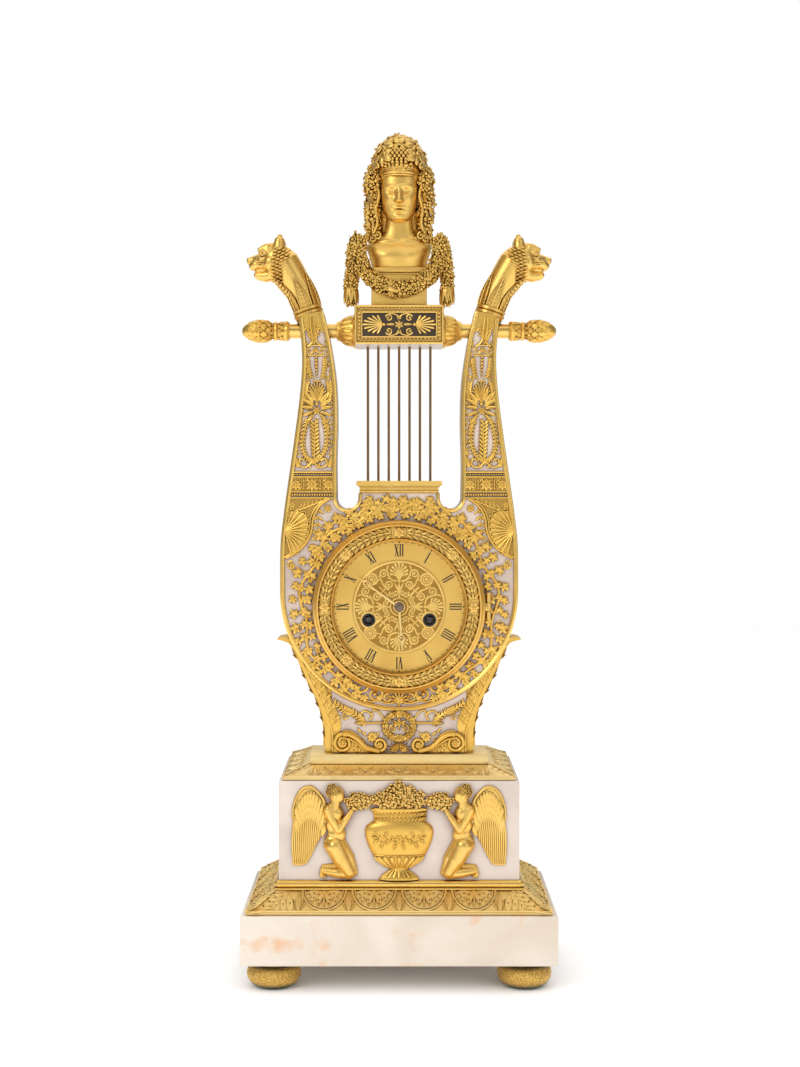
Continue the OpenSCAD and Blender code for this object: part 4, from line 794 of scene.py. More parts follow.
ball_bm = bmesh.new()
bmesh.ops.create_uvsphere(ball_bm, u_segments=28, v_segments=18, radius=1)
ball_cast = as_mesh(ball_bm, "ball")
bloom_bm = bmesh.new()
pip_bm = bmesh.new()
bmesh.ops.create_uvsphere(pip_bm, u_segments=5, v_segments=3, radius=1)
pip_cast = as_mesh(pip_bm, "pip")
for k in range(5):
    a = k * math.tau / 5
    spot = Matrix.Translation((0.6 * math.cos(a), 0.6 * math.sin(a), 0.12)) @ Matrix.Rotation(a, 4, "Z")
    put(bloom_bm, pip_cast, spot @ Matrix.Rotation(-0.42, 4, "Y") @ Matrix.Diagonal((0.6, 0.52, 0.14, 1)))
put(bloom_bm, pip_cast, Matrix.Translation((0, 0, 0.14)) @ Matrix.Scale(0.27, 4))
bloom_cast = as_mesh(bloom_bm, "bloom")


def tilted(base, x, y, up, size, rng, lean=0.6):
    return (base @ Matrix.Translation((x, y, up)) @ Matrix.Rotation(rng.uniform(-lean, lean), 4, "X")
            @ Matrix.Rotation(rng.uniform(-lean, lean), 4, "Y") @ Matrix.Rotation(rng.uniform(0, 6.28), 4, "Z")
            @ Matrix.Scale(size, 4))


def bouquet(bm, base, x, y, half_w, half_h, count, size, seed, depth=3.0):
    rng = random.Random(seed)
    lump(bm, base, x, y, 0, half_w * 0.86, half_h * 0.86, depth * 0.9)
    for k in range(count):
        r, a = math.sqrt((k + 0.5) / count), k * GOLDEN_TURN
        px, py = x + half_w * r * math.cos(a), y + half_h * r * math.sin(a)
        up = depth * math.sqrt(1 - 0.85 * r * r)
        kind = rng.random()
        if kind < 0.66:
            put(bm, bloom_cast, tilted(base, px, py, up, size * rng.uniform(0.9, 1.2), rng, 0.45))
        elif kind < 0.84:
            put(bm, leaf_cast, tilted(base, px, py, up, size * 1.8, rng))
        else:
            for j in range(4):
                bead(bm, base, px + rng.uniform(-1, 1) * size * 0.5, py + rng.uniform(-1, 1) * size * 0.5,
                     size * 0.42, up)


def plate(outline, base, thick):
    bm = bmesh.new()
    rim = [bm.verts.new((x, y, 0)) for x, y in outline]
    sheet = [bm.faces.new(rim)]
    top = bmesh.ops.extrude_face_region(bm, geom=sheet)["geom"]
    bmesh.ops.translate(bm, vec=(0, 0, thick), verts=[g for g in top if isinstance(g, bmesh.types.BMVert)])
    bmesh.ops.triangulate(bm, faces=bm.faces[:])
    bm.transform(base)
    return as_mesh(bm)


flower_gilt = gilding("flower_gilt", (0.98, 0.69, 0.23), (0.88, 0.55, 0.14), 0.36, 0.00008, 0.0014,
                      (0.20, 0.09, 0.016), clear=0.84)
HAIRLINE = -78.6
WING = [(47.4, 117.6), (51.0, 124.6), (55.4, 130.2), (59.6, 133.0), (64.4, 131.8), (68.2, 127.4), (70.6, 120.6),
        (71.5, 112), (71.8, 96), (71.6, 80.4), (66.8, 79.8), (62.6, 80.8), (59.6, 85.6), (56.6, 91.6), (54.4, 97.0),
        (51.6, 101.6), (48.6, 106.4), (47.0, 112.0)]
GENIUS = [
    (42.2, 128.4, 1.8, 5.3, 5.5, 3.9), (40.4, 126.2, 1.9, 3.7, 3.8, 3.0),
    ([(39.0, 129.6, 3.0), (37.4, 128.0, 2.6)], [0.9, 0.7]), (38.2, 125.2, 2.0, 1.0, 0.8, 1.1),
    (37.7, 126.5, 2.1, 0.7, 0.5, 0.9), ([(42.6, 125.0, 1.4), (43.4, 118.6, 1.2)], [3.2, 3.8]),
    (44.8, 119.8, 1.0, 5.0, 3.2, 3.2, -18), (43.9, 115.2, 1.0, 6.9, 6.2, 4.4), (40.8, 115.0, 1.4, 3.2, 3.2, 3.7),
    (43.0, 107.6, 0.8, 6.1, 7.0, 3.8), (42.0, 101.0, 0.8, 6.2, 6.4, 3.8), (43.4, 96.4, 0.8, 7.0, 5.8, 4.2),
    (46.0, 93.8, 0.8, 4.9, 4.6, 4.2), ([(39.6, 95.5, 0.2), (33.8, 85.5, 0.1), (30.4, 75.2, 0.1)], [4.0, 3.8, 2.8]),
    ([(43.0, 93.0, 1.3), (38.8, 84.4, 1.5), (33.4, 75.6, 1.4)], [6.8, 5.9, 4.2]),
    ([(33.2, 73.7, 1.1), (42.0, 75.2, 1.2), (50.8, 76.4, 1.0)], [2.9, 3.5, 2.2]),
    ([(41.0, 79.3, -0.2), (51.0, 79.2, -0.2)], [2.2, 1.6]), ([(51.4, 77.2, 0.9), (52.3, 73.4, 0.9)], [1.9, 1.3]),
    (50.8, 72.6, 1.1, 2.0, 0.9, 1.4),
    ([(47.4, 118.0, 2.5), (44.1, 110.4, 3.5), (40.7, 104.2, 3.6)], [3.2, 2.9, 2.4]),
    ([(40.5, 104.0, 3.6), (36.0, 111.0, 3.5), (31.8, 117.2, 2.8)], [2.4, 2.2, 1.5]),
    (30.0, 119.0, 2.6, 2.2, 1.1, 1.2, 35)]
for side, word in ((-1, "left"), (1, "right")):
    relief_side = mirrored(stone_face, side)
    body = bmesh.new()
    model(body, relief_side, GENIUS)
    figure = bmesh.new()
    put(figure, fuse(body, 0.32, 5))
    rng = random.Random(11)
    for k in range(40):
        a, r = k * GOLDEN_TURN, math.sqrt((k + 0.5) / 40)
        x, z = 43.4 + 5.2 * r * math.cos(a), 130.6 + 4.6 * r * math.sin(a)
        if x - z * 0.9 < HAIRLINE:
            continue
        put(figure, bloom_cast, tilted(relief_side, x, z, 2.4 + 2.9 * math.sqrt(max(0, 1 - r * r)), 1.5, rng))
    put(figure, plate(WING, relief_side @ Matrix.Translation((0, 0, -0.6)), 1.5))
    strand(figure, relief_side, smooth_path([(*p, 0.9) for p in [(49.4, 116.6)] + WING[1:8]]), 1.25, 0.8, 10)
    for k in range(14):
        t = k / 13
        root = (49.8 + 20.2 * t, 110.5 + 15.5 * math.sin(math.pi * min(1, 0.10 + t * 0.84)))
        end = (54.2 + 16.6 * t, 96.6 - 15.6 * min(1, t * 1.9))
        middle = ((root[0] + end[0]) / 2 + 1.2, (root[1] + end[1]) / 2)
        quill = smooth_path([(*root, 0.9), (*middle, 1.2), (*end, 0.9)], 4)
        strand(figure, relief_side, quill, [0.78, 0.8, 0.8, 0.78, 0.76, 0.74, 0.72, 0.7, 0.4], sides=8, flat=0.9)
    for row, (size, drop, count) in enumerate(((9.5, 11.0, 10), (8.5, 6.4, 11), (7.5, 2.4, 11), (6.5, -0.8, 10))):
        for k in range(count):
            t = (k + 0.5 * (row % 2)) / (count - 0.5)
            x0 = 50.0 + 18.8 * t
            z0 = 113.0 - drop + 15.0 * math.sin(math.pi * min(1, 0.10 + t * 0.80)) + 2.0
            put(figure, petal_cast, tile(relief_side, x0, z0, -80 - 6 * t, size, 0.56, 0.42, 1.2 + 0.3 * row))
    mount(f"gilt_genius_{word}", figure, chased_gilt, ["genii"], crease=80)
    posy = bmesh.new()
    bouquet(posy, relief_side, 27.2, 123.6, 8.6, 4.6, 26, 2.5, 21)
    mount(f"genius_flowers_{word}", posy, flower_gilt, crease=180)

# Urn: a cast vase in half relief between the genii, with a leafy neck, a gadrooned base and a fluted
# foot, and heaped with flowers. Its belly carries plain sprays of leaves and blossom.
URN_DEPTH = 0.26
GADROON_LOW, GADROON_TOP, GIRDLE_Z = 78.8, 86.4, 87.2
urn_profile = [(0, 70.4), (13.5, 70.4), (13.5, 71.6), (11.2, 73.0), (7.6, 75.2), (6.3, 77.2), (7.2, 78.2),
               (10.2, 79.6), (14.4, 83.2), (16.8, 86.4), (17.6, 86.9), (18.0, 87.6), (20.4, 92.4), (22.5, 98.2),
               (23.2, 103.4), (22.3, 106.4), (19.6, 108.8), (17.8, 109.6), (17.0, 110.4), (17.1, 113.5),
               (17.9, 116.6), (19.2, 117.2), (19.2, 118.4), (18.2, 118.9), (0, 118.9)]
urn = bmesh.new()
put(urn, turned(urn_profile, 64), Matrix.Translation((0, PLINTH_FRONT, 0)) @ Matrix.Diagonal((1, URN_DEPTH, 1, 1)))


def urn_radius(z):
    for (r0, z0), (r1, z1) in zip(urn_profile[3:], urn_profile[4:]):
        if z0 <= z <= z1:
            return r0 + (r1 - r0) * (z - z0) / max(z1 - z0, 0.01)
    return 20


def belly(x, z):
    return URN_DEPTH * math.sqrt(max(1, urn_radius(z) ** 2 - x * x))


def urn_leaf(x, z, turn, size, width, lift):
    leaf(urn, stone_face, x, z, turn, size, width, lift, belly(x, z) + 0.1)


for k in range(9):
    share = math.sin(math.radians(-72 + 18 * k))
    foot_x, top_x = share * urn_radius(GADROON_LOW), share * (urn_radius(GADROON_TOP) + 0.3)
    ridge = []
    for t in (0, 0.25, 0.5, 0.75, 1):
        x, z = foot_x + (top_x - foot_x) * t, GADROON_LOW + (GADROON_TOP - GADROON_LOW) * t
        ridge.append(Vector((x, z, belly(x, z) + 0.1)))
    strand(urn, stone_face, ridge, [0.5, 0.9, 1.3, 1.6, 1.3], sides=8, flat=0.8)
    base_x = share * 12.0
    strand(urn, stone_face, [Vector((share * 6.0, 77.0, belly(share * 6.0, 77.0))),
                             Vector((base_x, 72.2, URN_DEPTH * math.sqrt(max(1, 145 - base_x ** 2))))], 0.5, 1.1)
strand(urn, stone_face, [Vector((x, GIRDLE_Z, belly(x, GIRDLE_Z) + 0.1)) for x in range(-17, 18)], 0.55)
for row, z in ((0, 110.2), (1, 113.4)):
    for k in range(17):
        x = 16.6 * math.sin(math.radians(-80 + 10 * k + 5 * row))
        urn_leaf(x, z, 58, 4.2, 1.1, 2.0)
for side in (-1, 1):
    stem = smooth_path([(1.5, 95.5), (6, 98.6), (11, 96.4), (15.4, 99.8)])
    strand(urn, stone_face, [Vector((side * p.x, p.y, belly(p.x, p.y) + 0.2)) for p in stem], 0.5, 0.3)
    for x, z, turn in ((3.6, 97.4, 70), (6, 98.5, -50), (8.6, 97.6, 65), (10.4, 96.6, -62), (12.6, 97.4, 84),
                       (14.6, 99, 20), (2.2, 95.6, -70), (14.0, 98.4, -40)):
        urn_leaf(side * x, z, swung(turn, side), 4.6, 1.1, 1.5)
    for x, z, r in ((15.4, 102.4, 2.0), (8.4, 102.2, 1.9), (12.0, 93.4, 1.6)):
        rosette(urn, stone_face, side * x, z, r, 5, 0, belly(x, z) + 0.2)
rosette(urn, stone_face, 0, 98.6, 3.2, 6, 0, belly(0, 98.6) + 0.3)
mount("gilt_urn", urn, matte_gilt, ["urn_relief"])
heap = bmesh.new()
bouquet(heap, stone_face, 0, 124.4, 17.5, 5.6, 52, 2.9, 31, 4.2)
bouquet(heap, stone_face, 0, 129.8, 9.4, 5.2, 22, 2.8, 32, 3.6)
for side in (-1, 1):
    for k in range(5):
        leaf(heap, stone_face, side * (2 + 3.6 * k), 126.0 - k * 0.6, 90 - side * (10 + 15 * k), 9.6 - 0.5 * k, 0.5,
             0.6, 1.6)
mount("urn_flowers", heap, flower_gilt, crease=180)

# Gilt edging: narrow cast fillets that follow the outer and inner edges of the bowl and the arms,
# each pinned to the front of the stone.
LYRE_FRONT = -18
BOWL_R, BOWL_Z = 80.0, 262
front = plane((0, LYRE_FRONT, 0), (1, 0, 0), (0, 0, 1))
ARM_OUTER = [(76.9, 330), (72.1, 363.3), (67.9, 395), (66.2, 417.6), (66.8, 434.3), (68.5, 449.4)]
ARM_INNER = [(42.9, 330), (43.1, 351.6), (42.4, 379), (43.3, 406.6), (47.2, 433.6), (51.9, 453.8)]
SHOULDER = [(81.5, BOWL_Z), (81.2, 293.6), (79.0, 314.6)]
edging = bmesh.new()


def fillet(bm, base, path, wide=1.6):
    strand(bm, base, path, wide, sides=10, flat=0.65)
    strand(bm, base, [p + Vector((0, 0, 0.8)) for p in path], 0.55, sides=6)


bowl_ring = [Vector((BOWL_R * math.sin(a), BOWL_Z - BOWL_R * math.cos(a), 0.4))
             for a in (math.radians(k * 3 - 90) for k in range(61))]
fillet(edging, front, bowl_ring)
for side in (-1, 1):
    half = mirrored(front, side)
    fillet(edging, half, smooth_path([(x - 1.5, z, 0.4) for x, z in SHOULDER + ARM_OUTER]))
    fillet(edging, half, smooth_path([(x + 1.3, z, 0.4) for x, z in ARM_INNER]))
    notch = [Vector((35.4 + 8.7 * math.cos(a), 326.7 + 8.7 * math.sin(a), 0.4))
             for a in (math.radians(-9 * k) for k in range(21))]
    fillet(edging, half, [Vector((44.2, 330, 0.4))] + notch + [Vector((26.7, 329.6, 0.4))], 1.15)
mount("gilt_lyre_edging", edging, bright_gilt, ["lyre_edging"])

# Pierced mount round the dial: a vine with lobed leaves, tendrils and grapes, sawn from one cast
# sheet so that the stone shows between its leaves, and pinned close round the bezel.
vine_bm = bmesh.new()
for turn, size in ((0, 1.0), (56, 0.86), (-56, 0.86), (116, 0.62), (-116, 0.62)):
    put(vine_bm, petal_cast, tile(upright, -0.06, 0, turn, size, 0.9, 0.7))
vine_cast = as_mesh(vine_bm, "vine_leaf")
vine = bmesh.new()
around = front @ Matrix.Translation((0, DIAL_Z, 0))
rng = random.Random(5)


def polar(r, degrees, up=0.4):
    a = math.radians(degrees)
    return Vector((r * math.cos(a), r * math.sin(a), up))


def vine_leaf(base, x, y, turn, size):
    put(vine, vine_cast, tile(base, x, y, turn, size, 1, 1.5, 0.7))


for half_turn in (-1, 1):
    stem = [polar(66.6 + 2.4 * math.sin(math.radians(a * 10)), 90 + half_turn * a) for a in range(16, 158, 2)]
    strand(vine, around, stem, 0.95, sides=7)
LEAVES = 48
for k in range(LEAVES):
    a = -90 + (k + 0.5) * 360 / LEAVES
    if abs(a + 90) < 24 or abs(a - 270) < 24:
        continue
    low = math.sin(math.radians(a))
    far = 72.8 if low > -0.35 else (71.2 if low > -0.75 else 68.6)
    for r, swing, size in ((62.4 + rng.uniform(0, 1.6), 180, 4.9), (67.2 + rng.uniform(-1.0, 1.4), 90, 4.6),
                           (far + rng.uniform(-1.6, 0.4), 0, 5.0)):
        spot = polar(r, a + rng.uniform(-1.4, 1.4))
        vine_leaf(around, spot.x, spot.y, a + swing + rng.uniform(-70, 70), size * rng.uniform(0.85, 1.15))
    if k % 3 == 0:
        for j in range(9):
            spot = polar(62.6 + 0.95 * (j // 3), a + 2.6 + (j % 3 - 1) * 0.85)
            bead(vine, around, spot.x, spot.y, 0.74, 1.0)
    elif k % 3 == 1:
        curl = polar(70.0, a + 2.0)
        scroll(vine, around, curl.x, curl.y, 1.9, rng.uniform(0, 360), 1.1, 1, 0.42, 6)
for k in range(20):
    x, z = -24.7 + 2.6 * k, (316.6, 321.6, 325.2, 319.2)[k % 4]
    vine_leaf(front, x + rng.uniform(-0.6, 0.6), z, rng.uniform(0, 360), 5.2)
for side in (-1, 1):
    half = mirrored(front, side)
    strand(vine, half, flat_path([(1, 318), (8, 322.4), (15, 317), (22, 321.6), (30, 313), (38, 309)]), 0.7)
    for x, z, turn, size in ((30, 314, 40, 5.6), (36, 311.4, -30, 5.6), (42.5, 312.5, 70, 5.2), (47.4, 306, 10, 5.6),
                             (40, 305.6, -120, 5.2), (51, 299, 60, 5.2), (31.5, 308.6, 200, 5.0),
                             (54.6, 291.5, -20, 5.2), (46, 300, 190, 5.0), (24.8, 312.4, 120, 5.0)):
        vine_leaf(half, x, z, turn, size)
    strand(vine, half, flat_path([(38, 309), (45, 309.5), (50, 303), (54, 294)]), 0.65)
    scroll(vine, half, 16.6, 192.4, 6.3, 60, 1.3, 1, 1.25)
    scroll(vine, half, 7.6, 189.6, 3.4, 100, 1.3, -1, 1.0)
    strand(vine, half, flat_path([(34, 199), (28, 194.4), (23.5, 194.4), (21.2, 197)]), 0.85)
    strand(vine, half, flat_path([(3.6, 186.2), (9, 186.2), (14, 187.6), (20, 187.2), (26, 189.6)]), 0.75)
    for x, z, turn, size in ((28.5, 193, -60, 5.0), (33.5, 197.6, 100, 5.0), (24, 190.4, -100, 4.2),
                             (13.8, 189, 110, 3.6), (15.2, 197.0, 60, 3.6)):
        vine_leaf(half, x, z, turn, size)
anthemion(vine, front, 0, 184.6, 90, 9.0, 9, 130, 0.75, 0.5)
mount("gilt_vine_mount", vine, matte_gilt, ["pierced_surround"])

# Shoulder mounts: on each side a frieze of rosettes between a fillet and a beaded band, and below it
# a fluted shell held in by a curved moulding, all cast and chased and pinned on.
FRIEZE_Z, FRIEZE_MIDDLE = 336.0, 59.6
SHELL_EDGE = 78.4
FLUTES = (12.6, 14.6, 16.4, 17.6, 17.6, 16.6, 15.6, 15.0, 14.8, 15.0, 15.6, 16.4, 16.6)
shoulders = bmesh.new()
grounds = bmesh.new()
for side in (-1, 1):
    half = mirrored(front, side)
    for z, inner, outer, rod in ((344.4, 44.6, 73.2, 0.7), (341.2, 44.6, 73.7, 0.6), (331.0, 44.4, 75.1, 0.55),
                                 (326.9, 45.0, 75.6, 0.55)):
        bar(shoulders, half, (inner, z, 0.5), (outer, z, 0.5), rod)
    for k in range(18):
        bead(shoulders, half, 45.4 + 1.62 * k, 342.8, 0.66, 0.6)
        bead(shoulders, half, 45.8 + 1.7 * k, 329.0, 0.95, 0.7, 0.9)
    for x, r in ((48.4, 4.0), (FRIEZE_MIDDLE, 4.6), (70.6, 4.0)):
        rosette(shoulders, half, x, FRIEZE_Z, r, 8, 0, 0.7)
        ring(shoulders, half, x, FRIEZE_Z, r + 0.1, 0.32, 28, 0.3)
    for x in (54.0, 65.1):
        bar(shoulders, half, (x, 332.4, 0.5), (x, 339.8, 0.5), 0.55)
        for z in (333.4, 336, 338.6):
            bead(shoulders, half, x, z, 0.9, 0.6)
    rim = smooth_path([(47.5, 326.6, 0.5), (55.0, 320.6, 0.5), (58.8, 313, 0.5), (60.4, 303, 0.5), (65.8, 293.6, 0.5),
                       (77.6, 285.4, 0.5)])
    strand(shoulders, half, rim, 0.95, sides=10)
    strand(shoulders, half, [p + Vector((1.7, 0.2, 0.1)) for p in rim], 0.5)
    hub = Vector((78.2, 304.2, 0.2))
    put(grounds, plate([(44.6, 331.2), (75.0, 331.2), (73.8, 341.0), (44.6, 341.0)], half, 0.3))
    put(grounds, plate([(p.x, p.y) for p in rim] + [(79.4, 291.0), (78.6, 310.0), (75.8, 326.4)], half, 0.3))
    flutes = []
    for k, reach in enumerate(FLUTES):
        a = math.radians(98 + 13.0 * k)
        tip = hub + Vector((math.cos(a), math.sin(a), 0)) * reach
        if tip.x > SHELL_EDGE:
            continue
        flutes.append(tip)
        strand(shoulders, half, [hub + Vector((0, 0, 0.8)), (hub + tip) / 2 + Vector((0, 0, 1.1)),
                                 tip + Vector((0, 0, 0.7))], [0.4, 0.62, 0.85], sides=7)
        ring(shoulders, half, tip.x, tip.y, 1.5, 0.42, 16, 0.7, 6)
    put(shoulders, plate([(hub.x, hub.y)] + [(t.x, t.y) for t in flutes], half, 1.0))
    for k in range(9):
        a = math.radians(112 + 15.6 * k)
        spot = hub + Vector((math.cos(a), math.sin(a), 0)) * 9.6
        if spot.x < SHELL_EDGE:
            bead(shoulders, half, spot.x, spot.y, 0.7, 1.2)
    rosette(shoulders, half, 73.2, 322.0, 2.6, 6, 0, 0.3)
    for k in range(6):
        leaf(shoulders, half, 68.6 - 3.0 * k, 318.8 + 1.1 * k, 118 - 6 * k, 4.6, 0.9, 0.9, 0.2)
    strand(shoulders, half, [Vector((76.4, 315.6, 0.3)), Vector((66.0, 319.4, 0.5)), Vector((50.5, 325.6, 0.5))], 0.6)
    rosette(shoulders, half, 48.9, 319.6, 3.0, 6, 0, 0.4)
    for k in range(5):
        for turn, size in ((-52, 4.4), (-96, 4.0), (-142, 5.6)):
            leaf(shoulders, half, 55.6 + 0.5 * k, 319.0 - 4.6 * k, turn, size, 1.0, 1.1, 0.2)
    scroll(shoulders, half, 73.4, 280.6, 3.4, 100, 1.3, -1, 0.7)
    rosette(shoulders, half, 73.4, 280.6, 2.2, 6, 0, 0.5)
mount("gilt_shoulder_mounts", shoulders, matte_gilt)
ground_gilt = gilding("matted_ground", (0.62, 0.38, 0.095), (0.46, 0.27, 0.06), 0.44, 0.0002)
mount("shoulder_mount_grounds", grounds, ground_gilt)

# Arm mounts: tall openwork trophies of volutes, leaf sprays, a fan leaf and an ear of wheat tied
# with ribbon, cast flat and pinned down the front of each arm.
arm_work = bmesh.new()


def husks(bm, base, path, size, lean=40):
    strand(bm, base, path, 0.6, sides=6)
    for i in range(1, len(path)):
        a = math.degrees(math.atan2(path[i].y - path[i - 1].y, path[i].x - path[i - 1].x))
        for way in (-lean, lean):
            leaf(bm, base, path[i - 1].x, path[i - 1].y, a + way, size * 1.25, 1.05, 1.4, 0.4)


def arm_edge(edge, z):
    for (x0, z0), (x1, z1) in zip(edge, edge[1:]):
        if z <= z1:
            return x0 + (x1 - x0) * (z - z0) / (z1 - z0)
    return edge[-1][0]


def swept(rows, side):
    return [(x + side * reach, *rest) for x, reach, *rest in rows]


ARM_STEM = [(59.6, 1.0, 450, 0.5), (58.8, 1.4, 441, 0.6), (57.8, 1.3, 434, 0.6), (57.4, 4.9, 429.8, 0.5)]
ARM_HUSKS = [(56.6, 6.0, 422.6), (56.4, 5.6, 416), (56.0, 4.0, 409.0)]
ARM_SPRAY = [(56.0, 2.6, 389.4), (56.0, 7.2, 394.0), (55.8, 8.4, 400), (55.6, 7.4, 405.6)]
ARM_DROP = [(56.9, 5.4, 381.0), (57.2, 7.8, 372.0), (57.8, 8.2, 362.0), (58.6, 4.8, 354.4), (58.9, 0, 351.8)]
ARM_RIBBON = [(59.0, 0, 352.0, 0.5), (59.0, 4.8, 347.8, 0.6), (59.0, 9.4, 349.4, 0.5), (59.0, 8.4, 353.6, 0.5),
              (59.0, 5.4, 352.2, 0.5)]
ARM_HEAD = [(50.2, 441.6), (52.6, 440.2), (54.8, 442.4), (56.0, 438.6), (56.8, 434.8), (58.6, 431.8), (60.4, 434.8),
            (61.8, 438.6), (63.4, 442.4), (65.0, 440.2), (66.4, 441.2)]
for side in (-1, 1):
    half = mirrored(front, side)
    put(arm_work, plate(ARM_HEAD + [(66.6, 446.0), (67.4, 451.4), (53.0, 454.0), (51.0, 446.0)], half, 0.45))
    strand(arm_work, half, flat_path(ARM_HEAD, 4), 0.5)
    for k in range(13):
        z = 350.5 + 6.6 * k
        for edge, way in ((ARM_INNER, 1), (ARM_OUTER, -1)):
            x = arm_edge(edge, z) + way * 4.2
            scroll(arm_work, half, x, z, 1.35, 90 - 90 * way, 1.1, -way, 0.4, 6)
            leaf(arm_work, half, x - way * 1.2, z + 0.6, 90 - way * 20, 4.2, 0.8, 1.0, 0.2)
    for hand_side in (-1, 1):
        scroll(arm_work, half, 57.2 + hand_side * 4.3, 427.2, 2.7, 90 + hand_side * 90, 1.3, hand_side, 0.62)
        scroll(arm_work, half, 59.0 + hand_side * 4.0, 446.2, 2.2, 270, 1.2, hand_side, 0.55)
        strand(arm_work, half, smooth_path(swept(ARM_STEM, hand_side)), 0.75)
        husks(arm_work, half, flat_path(swept(ARM_HUSKS, hand_side), 4), 2.7, 34)
        scroll(arm_work, half, 56.0 + hand_side * 6.6, 408.4, 1.9, 90, 1.2, -hand_side, 0.5)
        for turn, size, x, z in ((76, 9.5, 2.0, 393.0), (52, 10.5, 2.6, 391.6), (30, 9.0, 3.0, 390.2),
                                 (8, 8.4, 2.6, 388.0), (-20, 8.0, 2.4, 385.6), (-46, 7.0, 2.0, 384.0)):
            leaf(arm_work, half, 56.2 + hand_side * x, z, swung(turn, hand_side), size * 1.1, 0.9, 1.1, 0.4)
        spray = flat_path(swept(ARM_SPRAY, hand_side), 4)
        husks(arm_work, half, spray, 3.0)
        drop = flat_path(swept(ARM_DROP, hand_side), 4)
        husks(arm_work, half, drop, 2.9)
        for k in range(10):
            leaf(arm_work, half, 57.0 + 0.12 * k, 353.4 + 2.6 * k, 90 + hand_side * 40, 5.4, 0.95, 1.3, 0.4)
        strand(arm_work, half, smooth_path(swept(ARM_RIBBON, hand_side)), 0.7)
        for x, z, turn, size in ((10.8, 347.6, 80, 7.0), (11.0, 347.6, 110, 5.4), (12.0, 356.0, 84, 5.0),
                                 (2.0, 347.0, 55, 4.4), (9.6, 377.0, -86, 5.0), (10.0, 381.6, -100, 4.6)):
            leaf(arm_work, half, 58.4 + hand_side * x, z, swung(turn, hand_side), size * 1.2, 1.1, 1.1, 0.3)
    bar(arm_work, half, (57.0, 381, 0.4), (58.2, 352, 0.4), 0.7)
    anthemion(arm_work, half, 56.2, 391.0, 91, 14.5, 11, 74, 0.62, 0.4)
    anthemion(arm_work, half, 59.0, 433.0, 95, 11.0, 7, 64, 0.55, 0.4)
    for k in range(7):
        bead(arm_work, half, 56.6 - 0.05 * k, 423 - 2.2 * k, 1.25 - 0.12 * abs(k - 2), 0.6)
    for z, a, b in ((430.8, 51.8, 62.6), (424.2, 51.0, 62.2), (406.6, 53.4, 58.6)):
        bar(arm_work, half, (a, z, 0.4), (b, z, 0.4), 0.55)
    rosette(arm_work, half, 57.0, 427.6, 2.3, 6, 0, 0.5)
    rosette(arm_work, half, 56.4, 386.4, 3.0, 6, 0, 0.9)
mount("gilt_arm_mounts", arm_work, matte_gilt, ["arm_mounts"])

# Foot mounts: paired volutes and flowers, and between them a small flower wreath with ribbon and
# laurel rods, all cast flat and pinned to the front of the lyre's foot.
foot_work = bmesh.new()
for side in (-1, 1):
    half = mirrored(front, side)
    raised = half @ Matrix.Translation((0, 0, 1.3))
    scroll(foot_work, raised, 38.4, 158.6, 6.4, 90, 1.9, -1, 1.6, 10)
    scroll(foot_work, raised, 13.4, 157.6, 4.6, 270, 1.5, -1, 1.4, 10)
    for shift, rod in ((0, 1.9), (-3.0, 0.9), (2.3, 0.6)):
        strand(foot_work, raised, smooth_path([(38.4, 164.6 + shift, 0.6), (34.0, 164.6 + shift, 0.6),
                                               (28.4, 161.4 + shift, 0.6), (22.4, 155.8 + shift * 0.6, 0.6),
                                               (13.6, 152.9 + shift * 0.1, 0.6)]), rod, sides=10)
    put(foot_work, plate([(9.0, 152.2), (44.6, 152.2), (44.8, 162.6), (42.4, 164.6), (38.4, 165.6), (33.8, 165.2),
                          (28.4, 161.8), (22.4, 156.4), (13.6, 153.6)], half, 1.1))
    for base, x, z, r, petals, up in ((half, 28.6, 155.4, 4.0, 6, 1.3), (half, 18.4, 162.8, 3.9, 8, 0.8),
                                      (raised, 38.4, 158.6, 2.8, 8, 1.0), (raised, 13.4, 157.6, 2.2, 6, 1.0)):
        rosette(foot_work, base, x, z, r, petals, 0, up)
    for x, z, turn, size in ((25.0, 153.2, 140, 4.8), (33.4, 153.2, 40, 4.6), (45.4, 153.2, 84, 5.4),
                             (22.6, 163.8, 40, 4.8), (15.6, 163.0, 120, 4.2), (26.4, 165.6, 60, 4.6),
                             (23.2, 160.0, 24, 4.4), (33.8, 158.0, 84, 4.4), (33.0, 154.0, 110, 3.8),
                             (25.8, 154.4, 70, 4.2)):
        leaf(foot_work, half, x, z, turn, size, 1.1, 1.3, 0.3)
    for k in range(5):
        leaf(foot_work, half, 1.0, 153.0, 92 - 21 * k, 7.8, 0.6, 1.3, 0.3)
    strand(foot_work, half, [Vector((9.5, 172.6, 0.5)), Vector((24, 172.4, 0.5)), Vector((29, 172.4, 0.5))], 0.8)
    leaf(foot_work, half, 23.0, 172.4, 0, 8.2, 1.0, 1.4, 0.3)
    for turn in (30, -30):
        leaf(foot_work, half, 22.0, 172.4, turn, 5.0, 0.9, 1.2, 0.3)
    husks(foot_work, half, flat_path([(24.4, 173.6), (31, 179.0), (37, 181.4), (45, 186.4)], 4), 3.6, 46)
    strand(foot_work, half, flat_path([(24.4, 173.6), (26.5, 178.4), (22.4, 180.6), (18.6, 177.6),
                                       (20.2, 174.6)]), 0.7)
    strand(foot_work, half, flat_path([(10.0, 174.4), (13.6, 179.6), (17.2, 181.4), (18.8, 178.0)]), 0.6)
    scroll(foot_work, half, 37.6, 176.8, 2.4, 180, 1.2, 1, 0.6)
    scroll(foot_work, half, 4.6, 168.0, 2.8, 90, 1.3, -1, 0.8)
    for turn, size in ((30, 5.0), (-10, 5.4), (-44, 5.0)):
        leaf(foot_work, half, 1.0, 172.2, turn, size, 0.8, 1.4, 0.5)
rng = random.Random(81)
